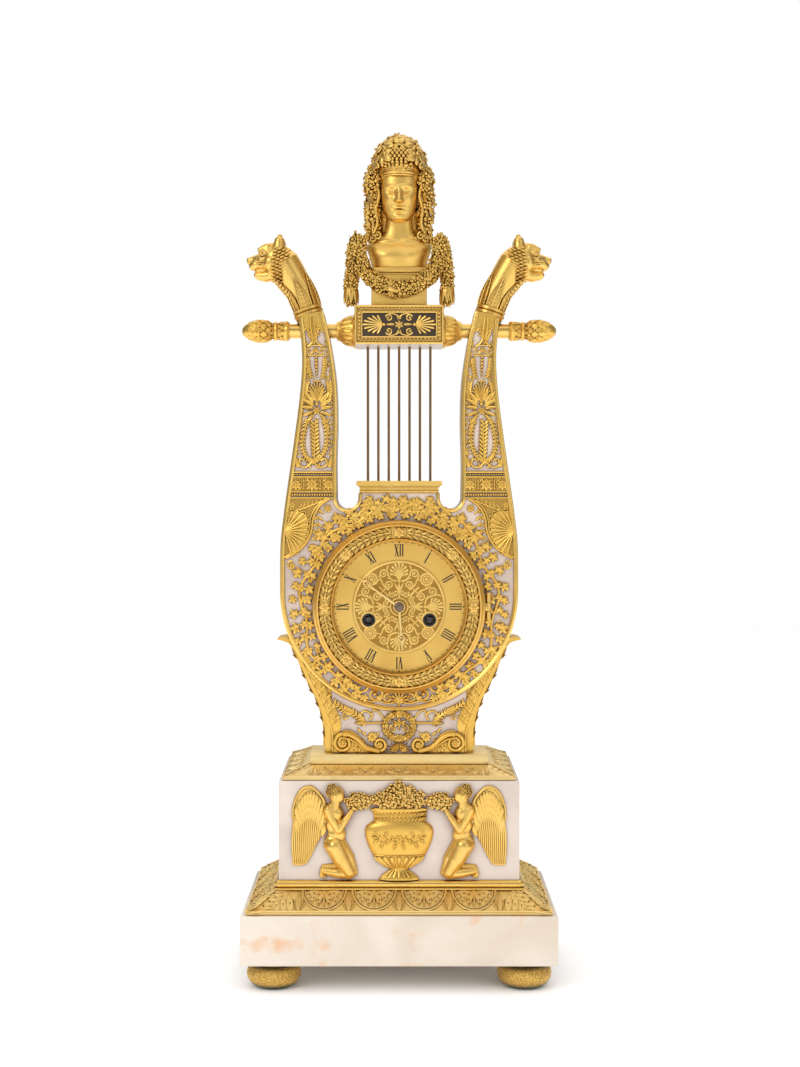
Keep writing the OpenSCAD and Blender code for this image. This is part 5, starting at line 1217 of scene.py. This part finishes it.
for k in range(22):
    a = math.tau * (k + 0.5) / 22
    x, z = 9.6 * math.cos(a), 170.2 + 8.6 * math.sin(a)
    put(foot_work, bloom_cast, tilted(front, x, z, 1.2, 2.1, rng, 0.3))
    for lean in (-36, 36):
        leaf(foot_work, front, x, z, math.degrees(a) + lean, 3.8, 1.1, 1.4, 0.4)
        leaf(foot_work, front, x, z, math.degrees(a) + 180 + lean, 3.2, 1.0, 1.3, 0.4)
ring(foot_work, front, 0, 170.2, 9.0, 1.2, 36, 0.3)
leaf(foot_work, front, 0, 176.0, -90, 9.0, 0.8, 1.4, 0.6)
rosette(foot_work, front, 0, 172.6, 2.0, 6, 0, 1.2)
for z in (162.2, 178.4):
    rosette(foot_work, front, 0, z, 2.8, 6, 0, 1.4)
mount("gilt_foot_mounts", foot_work, matte_gilt, ["foot_mount"])

# Side leaves: a tall acanthus leaf up each side of the foot, curling outward at its tip, cast in one
# with a strong midrib and lapped lobes, and bedded against the stone.
finish_nodes(matte_gilt, "side_leaves")
acanthus = bmesh.new()
FLANK = [(51.0, 151.8), (51.4, 169.0), (55.8, 185.6), (63.7, 202.0), (73.5, 223.6), (78.5, 228.0), (84.0, 229.6)]
SPINE = [(47.2, 152.4), (47.6, 168.0), (54.4, 185.4), (62.4, 201.6), (72.0, 222.0), (77.0, 227.0), (82.0, 229.6)]
for side in (-1, 1):
    half = mirrored(front, side)
    spine = flat_path(SPINE, 5, 0.2)
    for i in range(0, len(spine) - 8, 2):
        p, q = spine[i], spine[i + 1]
        a = math.degrees(math.atan2(q.y - p.y, q.x - p.x))
        reach = 5.0 if i < 5 else (11.5 if i < 12 else (10.0 if i < 18 else 7.0))
        for lean, size, up in ((24, reach, 0.2), (44, reach, 0.3), (66, reach * 0.85, 0.5)):
            leaf(acanthus, half, p.x - 1.4, p.y, a + lean, size, 0.95, 1.0, up)
    strand(acanthus, half, [p + Vector((-1.6, 0, 0.3)) for p in spine[:24]], 0.7, sides=8)
    strand(acanthus, half, [p + Vector((-4.0, 1.6, 0)) for p in spine[3:20]],
           [0.6, 2.6, 4.0] + [4.8 - 0.12 * i for i in range(14)], sides=14, flat=0.14)
    outer = flat_path(FLANK, 5, 0)
    midrib = []
    for i in range(1, 24):
        p, q = outer[i], outer[i + 1]
        out = Vector((q.y - p.y, p.x - q.x)).normalized()
        midrib.append(Vector((side * (p.x + out.x * 0.7), -1, p.y + out.y * 0.7)))
        if i % 3 or i > 19:
            continue
        a = math.degrees(math.atan2(q.y - p.y, q.x - p.x))
        flank = plane((side * (p.x + out.x * 0.2), -1, p.y + out.y * 0.2), (side * (q.x - p.x), 0, q.y - p.y),
                      (0, -side, 0))
        for lean in (-1, 1):
            for turn, size in ((14, 12.0), (34, 14.5), (54, 15.0), (74, 13.5)):
                leaf(acanthus, flank, 0, lean * 0.8, lean * turn, size, 0.75, 1.1)
            for turn, size in ((-12, 7.5), (-30, 6.0)):
                leaf(acanthus, half @ Matrix.Translation((0, 0, -17 + 12.5 * lean)), p.x - 0.8, p.y, a + turn, size,
                     0.8, 2.0)
    strand(acanthus, upright, midrib, 1.4, 0.8, 8, out=(0, 1, 0))
mount("gilt_side_acanthus", acanthus, matte_gilt)

# Bridge, strings and top rod: a moulded gilt bar, seven bronze wires that rise from it to the block,
# and a turned rod that passes through both arms.
finish_nodes(bright_gilt, "string_bridge", "crossbar")
bridge = bmesh.new()
for z, half_w, y, rod in ((337.6, 29.0, -19.0, 0.85), (331.2, 27.2, -18.6, 0.8), (334.6, 27.8, -18.4, 0.5)):
    bar(bridge, upright, (-half_w, y, z), (half_w, y, z), rod, 10)
mount("bridge_mouldings", bridge, bright_gilt)
string_bronze = turned_metal("string_bronze", (0.34, 0.19, 0.075), (0.20, 0.105, 0.04), 0.38)
finish_nodes(string_bronze, "strings")

# Cups and pine cones: a leafy cup clasps the rod on each side of the block, and a cone with lapped
# scales and a collar of leaves is screwed on each end.
ROD_Y, ROD_Z = -2, 442


def aimed(out):
    return out.to_track_quat("Z", "Y").to_matrix().to_4x4()


def rod_frame(x, turn, r, side):
    a = math.radians(turn)
    out = Vector((0, math.cos(a), math.sin(a)))
    return plane(Vector((x, ROD_Y, ROD_Z)) + out * r, (side, 0, 0), out.cross(Vector((side, 0, 0))))


ends = bmesh.new()
collars = bmesh.new()
along_x = Matrix.Translation((0, ROD_Y, ROD_Z)) @ Matrix.Rotation(math.pi / 2, 4, "Y")
for side in (-1, 1):
    turn_out = along_x if side > 0 else Matrix.Scale(-1, 4, (1, 0, 0)) @ along_x
    put(collars, turned([(5.1, 30.1), (12.0, 30.1), (12.0, 31.3), (10.6, 31.9), (10.0, 34.2), (8.6, 37.6),
                         (7.2, 40.6), (6.6, 41.6), (6.6, 43.0), (5.1, 43.0)], 48), turn_out)
    for k in range(12):
        for x, turn, r, lean, size in ((31.8, 0, 10.3, 0.30, 8.0), (34.8, 15, 9.3, 0.46, 7.6)):
            put(collars, leaf_cast, rod_frame(side * x, k * 30 + turn, r, side) @ Matrix.Rotation(lean, 4, "Y")
                @ Matrix.Diagonal((size, size * 1.35, size * 1.3, 1)))
    put(ends, turned([(0, 108.6), (2.2, 108.2), (4.6, 106.0), (6.6, 102.0), (7.4, 97.0), (6.8, 91.6), (5.0, 88.0),
                      (5.0, 87.0), (6.4, 86.2), (6.6, 84.6), (5.6, 83.6), (5.4, 80.6), (6.6, 79.2), (7.0, 77.4),
                      (6.2, 75.9), (0, 75.9)], 40), turn_out)
    for row, (x, r, lean, size) in enumerate(((87.6, 5.2, -0.60, 5.6), (90.4, 6.6, -0.34, 5.8),
                                              (93.3, 7.2, -0.16, 5.8), (96.2, 7.3, -0.02, 5.6),
                                              (99.1, 6.8, 0.12, 5.4), (101.9, 5.8, 0.30, 4.8),
                                              (104.4, 4.3, 0.52, 4.0), (106.4, 2.4, 0.76, 2.8))):
        count, width = (8, 1.05) if row < 6 else (6, 0.8)
        for k in range(count):
            put(ends, petal_cast, rod_frame(side * x, (k + 0.5 * (row % 2)) * 360 / count, r - 0.7, side)
                @ Matrix.Rotation(lean, 4, "Y") @ Matrix.Diagonal((size, size * width, size * 1.15, 1)))
    for k in range(9):
        for x, turn, r, size in ((78.4, 0, 5.7, 5.2), (83.4, 20, 5.3, 4.4)):
            put(ends, leaf_cast, rod_frame(side * x, k * 40 + turn, r, side)
                @ Matrix.Diagonal((size, size * 1.5, size * 1.8, 1)))
mount("gilt_rod_cups", collars, matte_gilt, ["cups"])
mount("gilt_pine_cones", ends, matte_gilt, ["finials"])

# Lion heads: a cast head on each arm, looking outward, with a smooth neck, chased mane and ears, and
# pointed hatched leaves that rise from a double ring.
NECK = [(61.6, 451.0), (64.0, 459.5), (68.0, 469.4), (73.4, 479.6), (79.2, 488.6), (85.2, 496.0)]
LION = [
    (84.6, 491.4, 0, 11.2, 11.0, 10.6), (89.6, 496.4, 0, 7.6, 6.2, 8.4),
    ([(86.6, 500.2, 0), (92.4, 499.2, 0), (95.0, 497.8, 0)], [3.0, 3.0, 2.7]), (94.0, 489.8, 0, 8.0, 6.2, 6.6, -8),
    ([(94.0, 492.4, 0), (99.0, 491.0, 0), (102.4, 490.2, 0)], [4.0, 3.4, 2.9]), (100.2, 486.8, 0, 3.6, 3.4, 4.4),
    (103.8, 491.2, 0, 1.6, 1.6, 2.6), ([(86.8, 481.4, 0), (92.0, 479.8, 0), (96.2, 480.0, 0)], [5.0, 4.0, 3.2]),
    (98.2, 480.6, 0, 2.2, 2.6, 2.8), (86.4, 483.6, 0, 5.4, 5.2, 7.0), (94.6, 484.2, 0, 5.0, 3.0, 2.6)]
for side, word in ((-1, "left"), (1, "right")):
    half = mirrored(plane((0, ROD_Y, 0), (1, 0, 0), (0, 0, 1)), side)
    head = bmesh.new()
    neck = flat_path(NECK, 4, 0)
    girth = [7.8 + 3.0 * min(1, i / 16) - 2.8 * max(0, i / 16 - 1) * 4 for i in range(len(neck))]
    strand(head, half, neck, girth, sides=40)
    model(head, half, LION)
    for y in (-1, 1):
        model(head, half, [
            ([(90.0, 499.6, y * 5.6), (95.8, 497.4, y * 5.0)], [2.2, 1.8]), (93.6, 490.6, y * 5.6, 3.6, 2.4, 2.2),
            (98.2, 487.6, y * 3.2, 3.8, 3.2, 2.8), (88.0, 488.4, y * 7.6, 4.8, 5.4, 3.6),
            ([(82.6, 498.6, y * 6.0), (82.2, 503.0, y * 6.4), (81.8, 506.4, y * 6.6)], [4.6, 3.6, 1.6])])
    cast = bmesh.new()
    put(cast, fuse(head, 0.4, 5))
    for y in (-1, 1):
        flank = half @ Matrix.Diagonal((1, 1, y, 1))
        lump(cast, flank, 94.2, 494.6, 6.2, 1.7, 1.2, 1.0)
        strand(cast, flank, smooth_path([(91.8, 495.2, 6.9), (93.6, 496.4, 7.2), (96.2, 494.9, 6.4)], 3), 0.5,
               sides=7)
        strand(cast, flank, smooth_path([(92.2, 494.2, 7.0), (94.2, 493.3, 7.0), (96.2, 494.5, 6.4)], 3), 0.4,
               sides=7)
        lump(cast, flank, 103.4, 491.8, 1.3, 0.8, 0.7, 0.8)
        for k in range(3):
            strand(cast, flank, smooth_path([(99.4 - 0.6 * k, 489.8 - 1.3 * k, 5.2),
                                             (95.4 - 0.8 * k, 489.0 - 1.5 * k, 7.2),
                                             (91.6 - 0.6 * k, 488.8 - 1.8 * k, 8.9)], 3), 0.42, 0.25, 6)
        for row in range(4):
            for k in range(10):
                t = k / 9
                z = 497.6 - 20.5 * t - row * 0.9
                x = 86.0 - 2.5 * row + 1.6 * math.sin(math.pi * t) + 2.4 * t * t
                up = 9.4 * math.sqrt(max(0.1, 1 - ((z - 490.0) / 16.5) ** 2)) + 1.3 - 0.25 * row
                leaf(cast, flank, x, z, 158 + 30 * t, 5.2, 1.0, 2.2, up)
    for k in range(8):
        x, z = 87.0 - 1.75 * k, 478.4 - 2.1 * k
        for y in (-3.6, 0, 3.6):
            lump(cast, half, x - 0.02 * y * y, z + 0.10 * y * y, y, 1.8, 1.5, 2.2)
    for k in range(6):
        a = math.radians(k * 60)
        path, rib = [], []
        for i in range(3, 12):
            along = (neck[i + 1] - neck[i - 1]).normalized()
            level = Vector((-along.y, along.x, 0))
            out = level * math.sin(a) + Vector((0, 0, 1)) * math.cos(a)
            path.append(neck[i] + out * girth[i])
            rib.append(neck[i] + out * (girth[i] + 0.95))
        wide = [4.1, 4.5, 4.6, 4.5, 4.1, 3.5, 2.7, 1.6, 0.3]
        strand(cast, half, path, wide, sides=10, flat=0.17, out=out)
        strand(cast, half, rib, 0.55, 0.3, 6, out=out)
        for lean in (-1, 1):
            hem = []
            for i, (p, w) in enumerate(zip(path, wide)):
                across = (path[min(i + 1, 8)] - path[max(i - 1, 0)]).cross(out).normalized()
                hem.append(p + across * lean * w * 0.9 + out * 0.5)
            strand(cast, half, hem, 0.5, 0.3, 6, out=out)
            for i in range(7):
                strand(cast, half, [rib[i], hem[i + 1]], 0.36, 0.3, 5, out=out)
    axis = Vector((side * 3.0, 0, 9.2)).normalized()
    tilt = Matrix.Translation((side * 62.3, ROD_Y, 453.2)) @ aimed(axis)
    put(cast, turned([(0, -3.4), (9.4, -3.4), (9.8, -0.4), (10.4, 0), (10.4, 1.6), (9.5, 2.2), (10.2, 2.9),
                      (10.2, 4.6), (9.3, 5.3), (8.4, 6.0), (0, 6.0)], 48), tilt)
    mount(f"gilt_lion_{word}", cast, chased_gilt, [f"{word}_lion"])

# Block under the bust: a squared alabaster block on the rod with a chased gilt frame. Its dark panel
# holds two palmettes laid sideways, scrolls and a rosette.
finish_nodes(warm_alabaster, "top_block")
dark_bronze = turned_metal("dark_patina", (0.10, 0.07, 0.045), (0.05, 0.036, 0.026), 0.5, 0.7)
panel = bmesh.new()
put(panel, block((-26, -25.9, 435), (26, -25.0, 453), 0.1))
mount("dark_block_panel", panel, dark_bronze, ["block_frame"])
TABLET_Y, TABLET_Z = -25, 444.35
tablet = plane((0, TABLET_Y, TABLET_Z), (1, 0, 0), (0, 0, 1))
PALM_X = 11.2
frame_work = bmesh.new()
for half_w, half_h, rod, up in ((29.5, 12.5, 0.75, 0.9), (25.4, 8.4, 0.6, 0.9), (28.0, 11.0, 0.35, 0.7)):
    corners = [Vector(c) for c in ((-half_w, -half_h, up), (half_w, -half_h, up), (half_w, half_h, up),
                                   (-half_w, half_h, up))]
    for a, b in zip(corners, corners[1:] + corners[:1]):
        strand(frame_work, tablet, [a, b], rod, sides=8)
for y in (-10.4, 10.4):
    put(frame_work, block((-29.6, -25.7, TABLET_Z + y - 2.2), (29.6, -24.9, TABLET_Z + y + 2.2), 0.1))
    for k in range(23):
        leaf(frame_work, tablet, -27.5 + 2.5 * k, y + 1.6, -90, 3.4, 1.3, 2.6, 0.7)
for x in (-27.4, 27.4):
    put(frame_work, block((x - 2.1, -25.7, 436.2), (x + 2.1, -24.9, 452.5), 0.1))
    for k in range(7):
        leaf(frame_work, tablet, x - math.copysign(1.6, x), -7.5 + 2.5 * k, 0 if x > 0 else 180, 3.4, 1.3, 2.6, 0.7)
for side in (-1, 1):
    half = mirrored(tablet, side) @ Matrix.Translation((0, 0, 1.0))
    for k in range(9):
        a = (k - 4) * 17.5
        size = 13.2 - 0.55 * abs(k - 4) ** 1.4
        root = Vector((PALM_X, 0, 0))
        tip = Vector((PALM_X + size * math.cos(math.radians(a)), size * 0.56 * math.sin(math.radians(a)) * 1.15, 0))
        strand(frame_work, half, [root, (root + tip) / 2 + Vector((0, 0, 0.3)), tip], [0.3, 0.5, 0.8], sides=7)
        bead(frame_work, half, tip.x, tip.y, 0.85)
    bead(frame_work, half, 10.4, 0, 1.3, 0.2)
    for up_down in (-1, 1):
        scroll(frame_work, half, 7.0, up_down * 4.4, 2.5, 40 * up_down, 1.25, up_down, 0.5)
        strand(frame_work, half, smooth_path([(0, up_down * 5.2, 0), (3.0, up_down * 7.0, 0), (6.6, up_down * 7.2, 0),
                                              (9.2, up_down * 5.4, 0)]), 0.45)
        leaf(frame_work, half, 0.4, up_down * 3.4, up_down * 70, 4.4, 0.8, 0.8)
    leaf(frame_work, half, 3.0, 0, 0, 6.6, 0.8, 1.0)
rosette(frame_work, tablet, 0, 0, 3.0, 6, 30, 0.9)
mount("gilt_block_frame", frame_work, chased_gilt)

# Bust: a cast herm with a bare chest and a calm, plain face under a band, the hair dressed high with
# vine, flowers and grapes and falling in bunches on each side. Skin is burnished, hair chased.
figure_plane = plane((0, 0, 0), (1, 0, 0), (0, 0, 1))


def blend(rings, t):
    spot = t * (len(rings) - 1)
    i = min(int(spot), len(rings) - 2)
    u = spot - i
    near = [rings[min(max(i + k, 0), len(rings) - 1)] for k in (-1, 0, 1, 2)]
    return [0.5 * (2 * b + (c - a) * u + (2 * a - 5 * b + 4 * c - d) * u * u + (3 * b - a - 3 * c + d) * u ** 3)
            for a, b, c, d in zip(*near)]


def loft(rings, rows, columns, square, swell):
    bm = bmesh.new()
    bmesh.ops.create_grid(bm, x_segments=columns, y_segments=rows, size=0.5)
    for v in bm.verts:
        z, wide, ahead, behind = blend(rings, min(max(v.co.y + 0.5, 0), 1))
        a = (v.co.x + 0.5) * math.tau
        x = wide * math.copysign(abs(math.cos(a)) ** square, math.cos(a))
        y = (ahead + behind) / 2 - (behind - ahead) / 2 * math.copysign(abs(math.sin(a)) ** square, math.sin(a))
        v.co = (x, y - swell(x, z) * max(0, math.sin(a)) ** 0.6, z)
    bmesh.ops.remove_doubles(bm, verts=bm.verts, dist=0.002)
    return as_mesh(bm)


def mound(x, z, height, x0, z0, wide, tall):
    return height * math.exp(-((x - x0) / wide) ** 2 - ((z - z0) / tall) ** 2)


def face_relief(x, z):
    x = abs(x)
    rise = min(max((541.0 - z) / 11.0, 0), 1)
    fall = min(max((z - 527.6) / 1.8, 0), 1)
    nose = 4.3 * rise ** 0.9 * fall * fall * (3 - 2 * fall) * math.exp(-(x / (1.5 + 0.7 * rise)) ** 2)
    return (nose + mound(x, z, 1.3, 2.1, 529.4, 1.0, 1.1) - mound(x, z, 1.9, 5.0, 536.3, 3.0, 2.0)
            + mound(x, z, 1.0, 5.2, 540.0, 3.8, 1.2) + mound(x, z, 0.9, 7.2, 532.0, 3.4, 3.4)
            + mound(x, z, 1.25, 0, 525.2, 3.2, 0.8) + mound(x, z, 1.35, 0, 523.0, 2.7, 0.9)
            - mound(x, z, 1.1, 0, 524.15, 3.5, 0.36) - mound(x, z, 0.5, 3.9, 524.1, 0.9, 0.9)
            - mound(x, z, 0.5, 0, 521.2, 3.2, 0.8) + mound(x, z, 1.4, 0, 518.6, 3.4, 2.0)
            - mound(x, z, 0.4, 0, 526.9, 0.7, 0.9))


def chest_relief(x, z):
    return (mound(abs(x), z, 1.1, 9.5, 493.0, 6.0, 4.5) - mound(x, z, 0.7, 0, 503.6, 1.6, 2.2)
            + mound(abs(x), z, 0.7, 8, 503.4, 6, 0.9))


HEAD = [(515.7, 0.2, -7.4, -7.0), (516.4, 4.8, -11.4, -2.0), (518.4, 7.7, -12.8, 3.0), (521.5, 9.8, -13.3, 8.0),
        (525.5, 11.6, -13.6, 11.0), (530.5, 12.9, -13.9, 13.0), (536, 13.6, -14.1, 14.0), (542, 13.7, -14.3, 14.0),
        (548, 12.8, -13.4, 13.0), (553, 10.2, -10.4, 11.0), (556.5, 5.0, -5.0, 6.0), (557.4, 0.2, -0.2, 0.2)]
CHEST = [(484.0, 18.6, -13.6, 10.6), (488.0, 19.2, -14.2, 10.8), (493.0, 20.6, -14.4, 11.0),
         (497.5, 22.0, -13.2, 10.8), (501.0, 22.2, -10.8, 10.2), (503.4, 19.4, -9.6, 9.6), (505.6, 14.6, -9.2, 9.2),
         (508.4, 11.4, -8.8, 8.8), (513.0, 9.7, -8.4, 8.6), (519.0, 9.1, -8.6, 9.0), (526.0, 9.2, -8.0, 9.0)]
skin_gilt = gilding("burnished_skin", (0.97, 0.67, 0.20), (0.86, 0.53, 0.12), 0.40, 0.00003, 0.003)
EYE_X, EYE_Z = 5.0, 536.2
face = bmesh.new()
put(face, loft(HEAD, 130, 150, 0.86, face_relief))
put(face, loft(CHEST, 60, 96, 0.72, chest_relief))
for side in (-1, 1):
    lump(face, figure_plane, side * EYE_X, EYE_Z, 10.4, 2.7, 1.5, 1.5)
    for lid, rod, out in ((1.5, 0.46, 12.2), (-1.15, 0.34, 11.8)):
        lash = [Vector((side * (EYE_X + 2.9 * c), EYE_Z + lid * (1 - c * c), out - 0.5 * c * c - 0.35 * c))
                for c in (-1, -0.6, -0.2, 0.2, 0.6, 1)]
        strand(face, figure_plane, lash, rod, sides=8)
mount("gilt_bust_face", face, skin_gilt, ["bust"], crease=75)
herm = bmesh.new()
put(herm, block((-19.0, -14.5, 457.4), (19.0, 10.5, 481.2), 0.5))
put(herm, block((-19.8, -15.3, 481.0), (19.8, 11.0, 484.4), 0.6))
for z in (458.6, 480.2):
    bar(herm, upright, (-19.2, -14.6, z), (19.2, -14.6, z), 0.5)
mount("gilt_herm", herm, skin_gilt)
CROWN, CROWN_RADII = (0, 551.0, 0), (17.0, 23.8, 13.6)
BAND_WIDE, BAND_DEEP = 13.2, 14.2
hair = bmesh.new()
band = [Vector((BAND_WIDE * math.sin(a), 549.4, 0.6 + BAND_DEEP * math.cos(a)))
        for a in (math.radians(k * 10 - 110) for k in range(23))]
for shift, rod in ((-1.7, 0.8), (0, 1.3), (1.7, 0.8)):
    strand(hair, figure_plane, [p + Vector((0, shift, 0)) for p in band], rod, sides=8)
lump(hair, figure_plane, 0, 552.0, 0, 16.8, 22.0, 13.2)
lump(hair, figure_plane, 0, 534, -5.0, 20.0, 24.0, 9.4)
lump(hair, figure_plane, 0, 518, -5.0, 18.0, 16.0, 7.0)


def leaf_trio(bm, local, spin, lean, size, length):
    for turn in (-0.8, 0, 0.8):
        put(bm, leaf_cast, local @ Matrix.Rotation(spin + turn, 4, "Z") @ Matrix.Rotation(lean, 4, "Y")
            @ Matrix.Diagonal((size * length, size * 2.2, size * 1.8, 1)))


def wreathed(bm, base, centre, radii, count, size, seed, keep=-0.5, leaf_share=0.2, grape_share=0.2, low=-2):
    rng = random.Random(seed)
    for k in range(count):
        z = 1 - 2 * (k + 0.5) / count
        a = k * GOLDEN_TURN
        out = Vector((math.sqrt(1 - z * z) * math.cos(a), z, math.sqrt(1 - z * z) * math.sin(a)))
        if out.z < keep or out.y < low:
            continue
        spot = Vector(centre) + Vector([o * r for o, r in zip(out, radii)])
        local = base @ Matrix.Translation(spot) @ aimed(Vector([o / r for o, r in zip(out, radii)]))
        kind = rng.random()
        if kind < leaf_share:
            leaf_trio(bm, local, k, -0.35, size, 1.7)
        elif kind < leaf_share + grape_share:
            for j in range(8):
                bead(bm, local, (j % 3 - 1) * size * 0.52, (j // 3 - 1) * size * 0.52, size * 0.36,
                     rng.uniform(0.1, 0.5) * size)
        else:
            put(bm, bloom_cast, tilted(local, 0, 0, 0.25 * size, size * rng.uniform(0.95, 1.25), rng, 0.4))


NAPE = [(568, 9.0, 8.0), (560, 14.6, 12.0), (550, 18.0, 14.4), (538, 20.0, 15.6), (524, 19.6, 15.2),
        (512, 18.0, 13.6), (503, 16.4, 11.6)]
for k in range(17):
    lock = []
    for i in range(25):
        z, wide, deep = blend(NAPE, i / 24)
        sway = math.radians(-80 + 10 * k) + 0.09 * math.sin(0.75 * i + 1.7 * k)
        lock.append(Vector((wide * math.sin(sway), z, -deep * math.cos(sway))))
    strand(hair, figure_plane, lock, 2.0, 1.6, 8)
wreathed(hair, figure_plane, CROWN, CROWN_RADII, 120, 3.8, 41, -0.95, 0.36, 0.14, 0.06)
for side in (-1, 1):
    lump(hair, figure_plane, side * 18.0, 530, -1, 3.9, 26.0, 7.6)
    wreathed(hair, figure_plane, (side * 17.0, 546, 2.0), (3.4, 7.0, 6.4), 26, 3.0, 90 + side, -0.4, 0.4, 0.1)
    wreathed(hair, figure_plane, (side * 18.2, 530, -1), (4.0, 26.0, 8.2), 60, 3.4, 50 + side, -0.95, 0.34, 0.40)
    for k in range(5):
        lock = []
        for i in range(21):
            x = 14.6 + 0.45 * k + (0.9 + 0.12 * k) * math.sin(0.7 * i + 1.3 * k) + 0.006 * i * i
            lock.append(Vector((side * x, 548 - 2.05 * i, 7.6 - 1.5 * k + 0.7 * math.cos(0.5 * i + k))))
        strand(hair, figure_plane, lock, 1.4, 1.0, 8)
    for k, (x, z, r) in enumerate(((15.0, 506.6, 2.6), (18.4, 504.6, 2.4), (12.4, 503.8, 1.9))):
        scroll(hair, figure_plane @ Matrix.Translation((0, 0, 9.6 - 0.8 * k)), side * x, z, r, 90, 1.3, side, 0.85)


def on_crown(turn, rise, lift=0.0):
    a, b = math.radians(turn), math.radians(rise)
    out = Vector((math.cos(b) * math.sin(a), math.sin(b), math.cos(b) * math.cos(a)))
    spot = Vector(CROWN) + Vector([o * (r + lift) for o, r in zip(out, CROWN_RADII)])
    level = Vector([o / r for o, r in zip(out, CROWN_RADII)])
    return figure_plane @ Matrix.Translation(spot) @ aimed(level)


for row, count in enumerate((4, 7, 8, 7, 6, 4, 2)):
    for k in range(count):
        bead(hair, on_crown((k - (count - 1) / 2) * 9.5, 34 - 4.4 * row, 2.6 - 0.3 * abs(row - 2)), 0, 0, 1.45)
for side in (-1, 1):
    for turn, rise, way, size in ((40, 24, 100, 9.5), (44, 44, 70, 9.0), (66, 12, 110, 9.0), (28, 58, 60, 8.5),
                                  (74, 34, 80, 9.0), (14, 46, 95, 7.0)):
        put(hair, vine_cast, tile(on_crown(side * turn, rise, 1.8), 0, 0, swung(way, side), size, 1, 1.7))
for k in range(15):
    a = math.radians(-84 + 12 * k)
    spot = (13.4 * math.sin(a), 552.0, 0.6 + BAND_DEEP * math.cos(a))
    curl = figure_plane @ Matrix.Translation(spot) @ Matrix.Rotation(a, 4, "Y")
    for lean in (-30, 30):
        leaf(hair, curl, 0, -0.6, 90 + lean, 5.6, 1.0, 1.6)
mount("gilt_bust_hair", hair, chased_gilt, crease=180)

# Garland: a heavy swag of small flowers, leaves and fruit from shoulder to shoulder, with a hanging
# bunch at each end. It is cast separately and screwed on; its hollows are greened and darkened with painted shade.
green_gilt = gilding("weathered_gilt_painted_shade", (0.93, 0.63, 0.18), (0.74, 0.45, 0.10), 0.38, hollow=0.0016,
                     patina_and_shade=(0.20, 0.15, 0.06))
swag = bmesh.new()


def swag_along(bm, points, radii, count, size, seed):
    rng = random.Random(seed)
    strand(bm, upright, points, [r * 0.8 for r in radii], sides=10, out=(0, -1, 0.01))
    last = len(points) - 1
    for k in range(count):
        i = min(int(k / count * last), last - 1)
        share = k / count * last - i
        spot = points[i].lerp(points[i + 1], share)
        along = (points[i + 1] - points[i]).normalized()
        r = radii[i] * (1 - share) + radii[i + 1] * share
        level = along.cross(Vector((0, -1, 0.01))).normalized()
        a = k * GOLDEN_TURN + rng.uniform(-0.2, 0.2)
        out = level * math.cos(a) + along.cross(level) * math.sin(a)
        local = Matrix.Translation(spot + out * r * 0.8) @ aimed(out)
        kind = rng.random()
        if kind < 0.2:
            leaf_trio(bm, local, k, -0.4, size, 1.6)
        elif kind < 0.36:
            for j in range(7):
                bead(bm, local, rng.uniform(-0.7, 0.7) * size, rng.uniform(-0.7, 0.7) * size, size * 0.42,
                     rng.uniform(0, 0.5) * size)
        else:
            put(bm, bloom_cast, tilted(local, 0, 0, 0.25 * size, size * rng.uniform(0.95, 1.25), rng, 0.4))


HANG_Y = -12.5
HANG = [(30.4, 503), (31.4, 494), (32.2, 485), (32.8, 476), (32.8, 467), (32.6, 459)]
ahead = Vector((0, -1, 0))
arc, thick = [], []
for turn in range(-108, 109, 6):
    a = math.radians(turn)
    arc.append(Vector((27.6 * math.sin(a), -20.2 + 6.0 * abs(math.sin(a)) ** 3, 497.0 - 28.0 * math.cos(a))))
    thick.append(3.9 + 1.3 * math.cos(math.radians(turn * 0.8)))
swag_along(swag, arc, thick, 190, 2.6, 61)
for side in (-1, 1):
    hang = [Vector((side * x, HANG_Y, z)) for x, z in HANG]
    swag_along(swag, hang, [2.6, 3.2, 3.6, 4.0, 3.6, 1.6], 64, 2.5, 70 + side)
    drop = plane((side * 32.8, HANG_Y, 472), (1, 0, 0), (0, 0, 1))
    for k in range(8):
        a = math.tau * k / 8
        out = Vector((math.sin(a), 0, math.cos(a)))
        lobe = plane((0, 0, 0), ahead + out * 0.1, out.cross(ahead))
        put(swag, leaf_cast, drop @ Matrix.Translation(out * 3.4) @ lobe @ Matrix.Diagonal((13.0, 13.0, 14.0, 1)))
mount("gilt_garland", swag, green_gilt, ["garland"], crease=180)

for spare in [m for m in bpy.data.meshes if not m.users]:
    bpy.data.meshes.remove(spare)
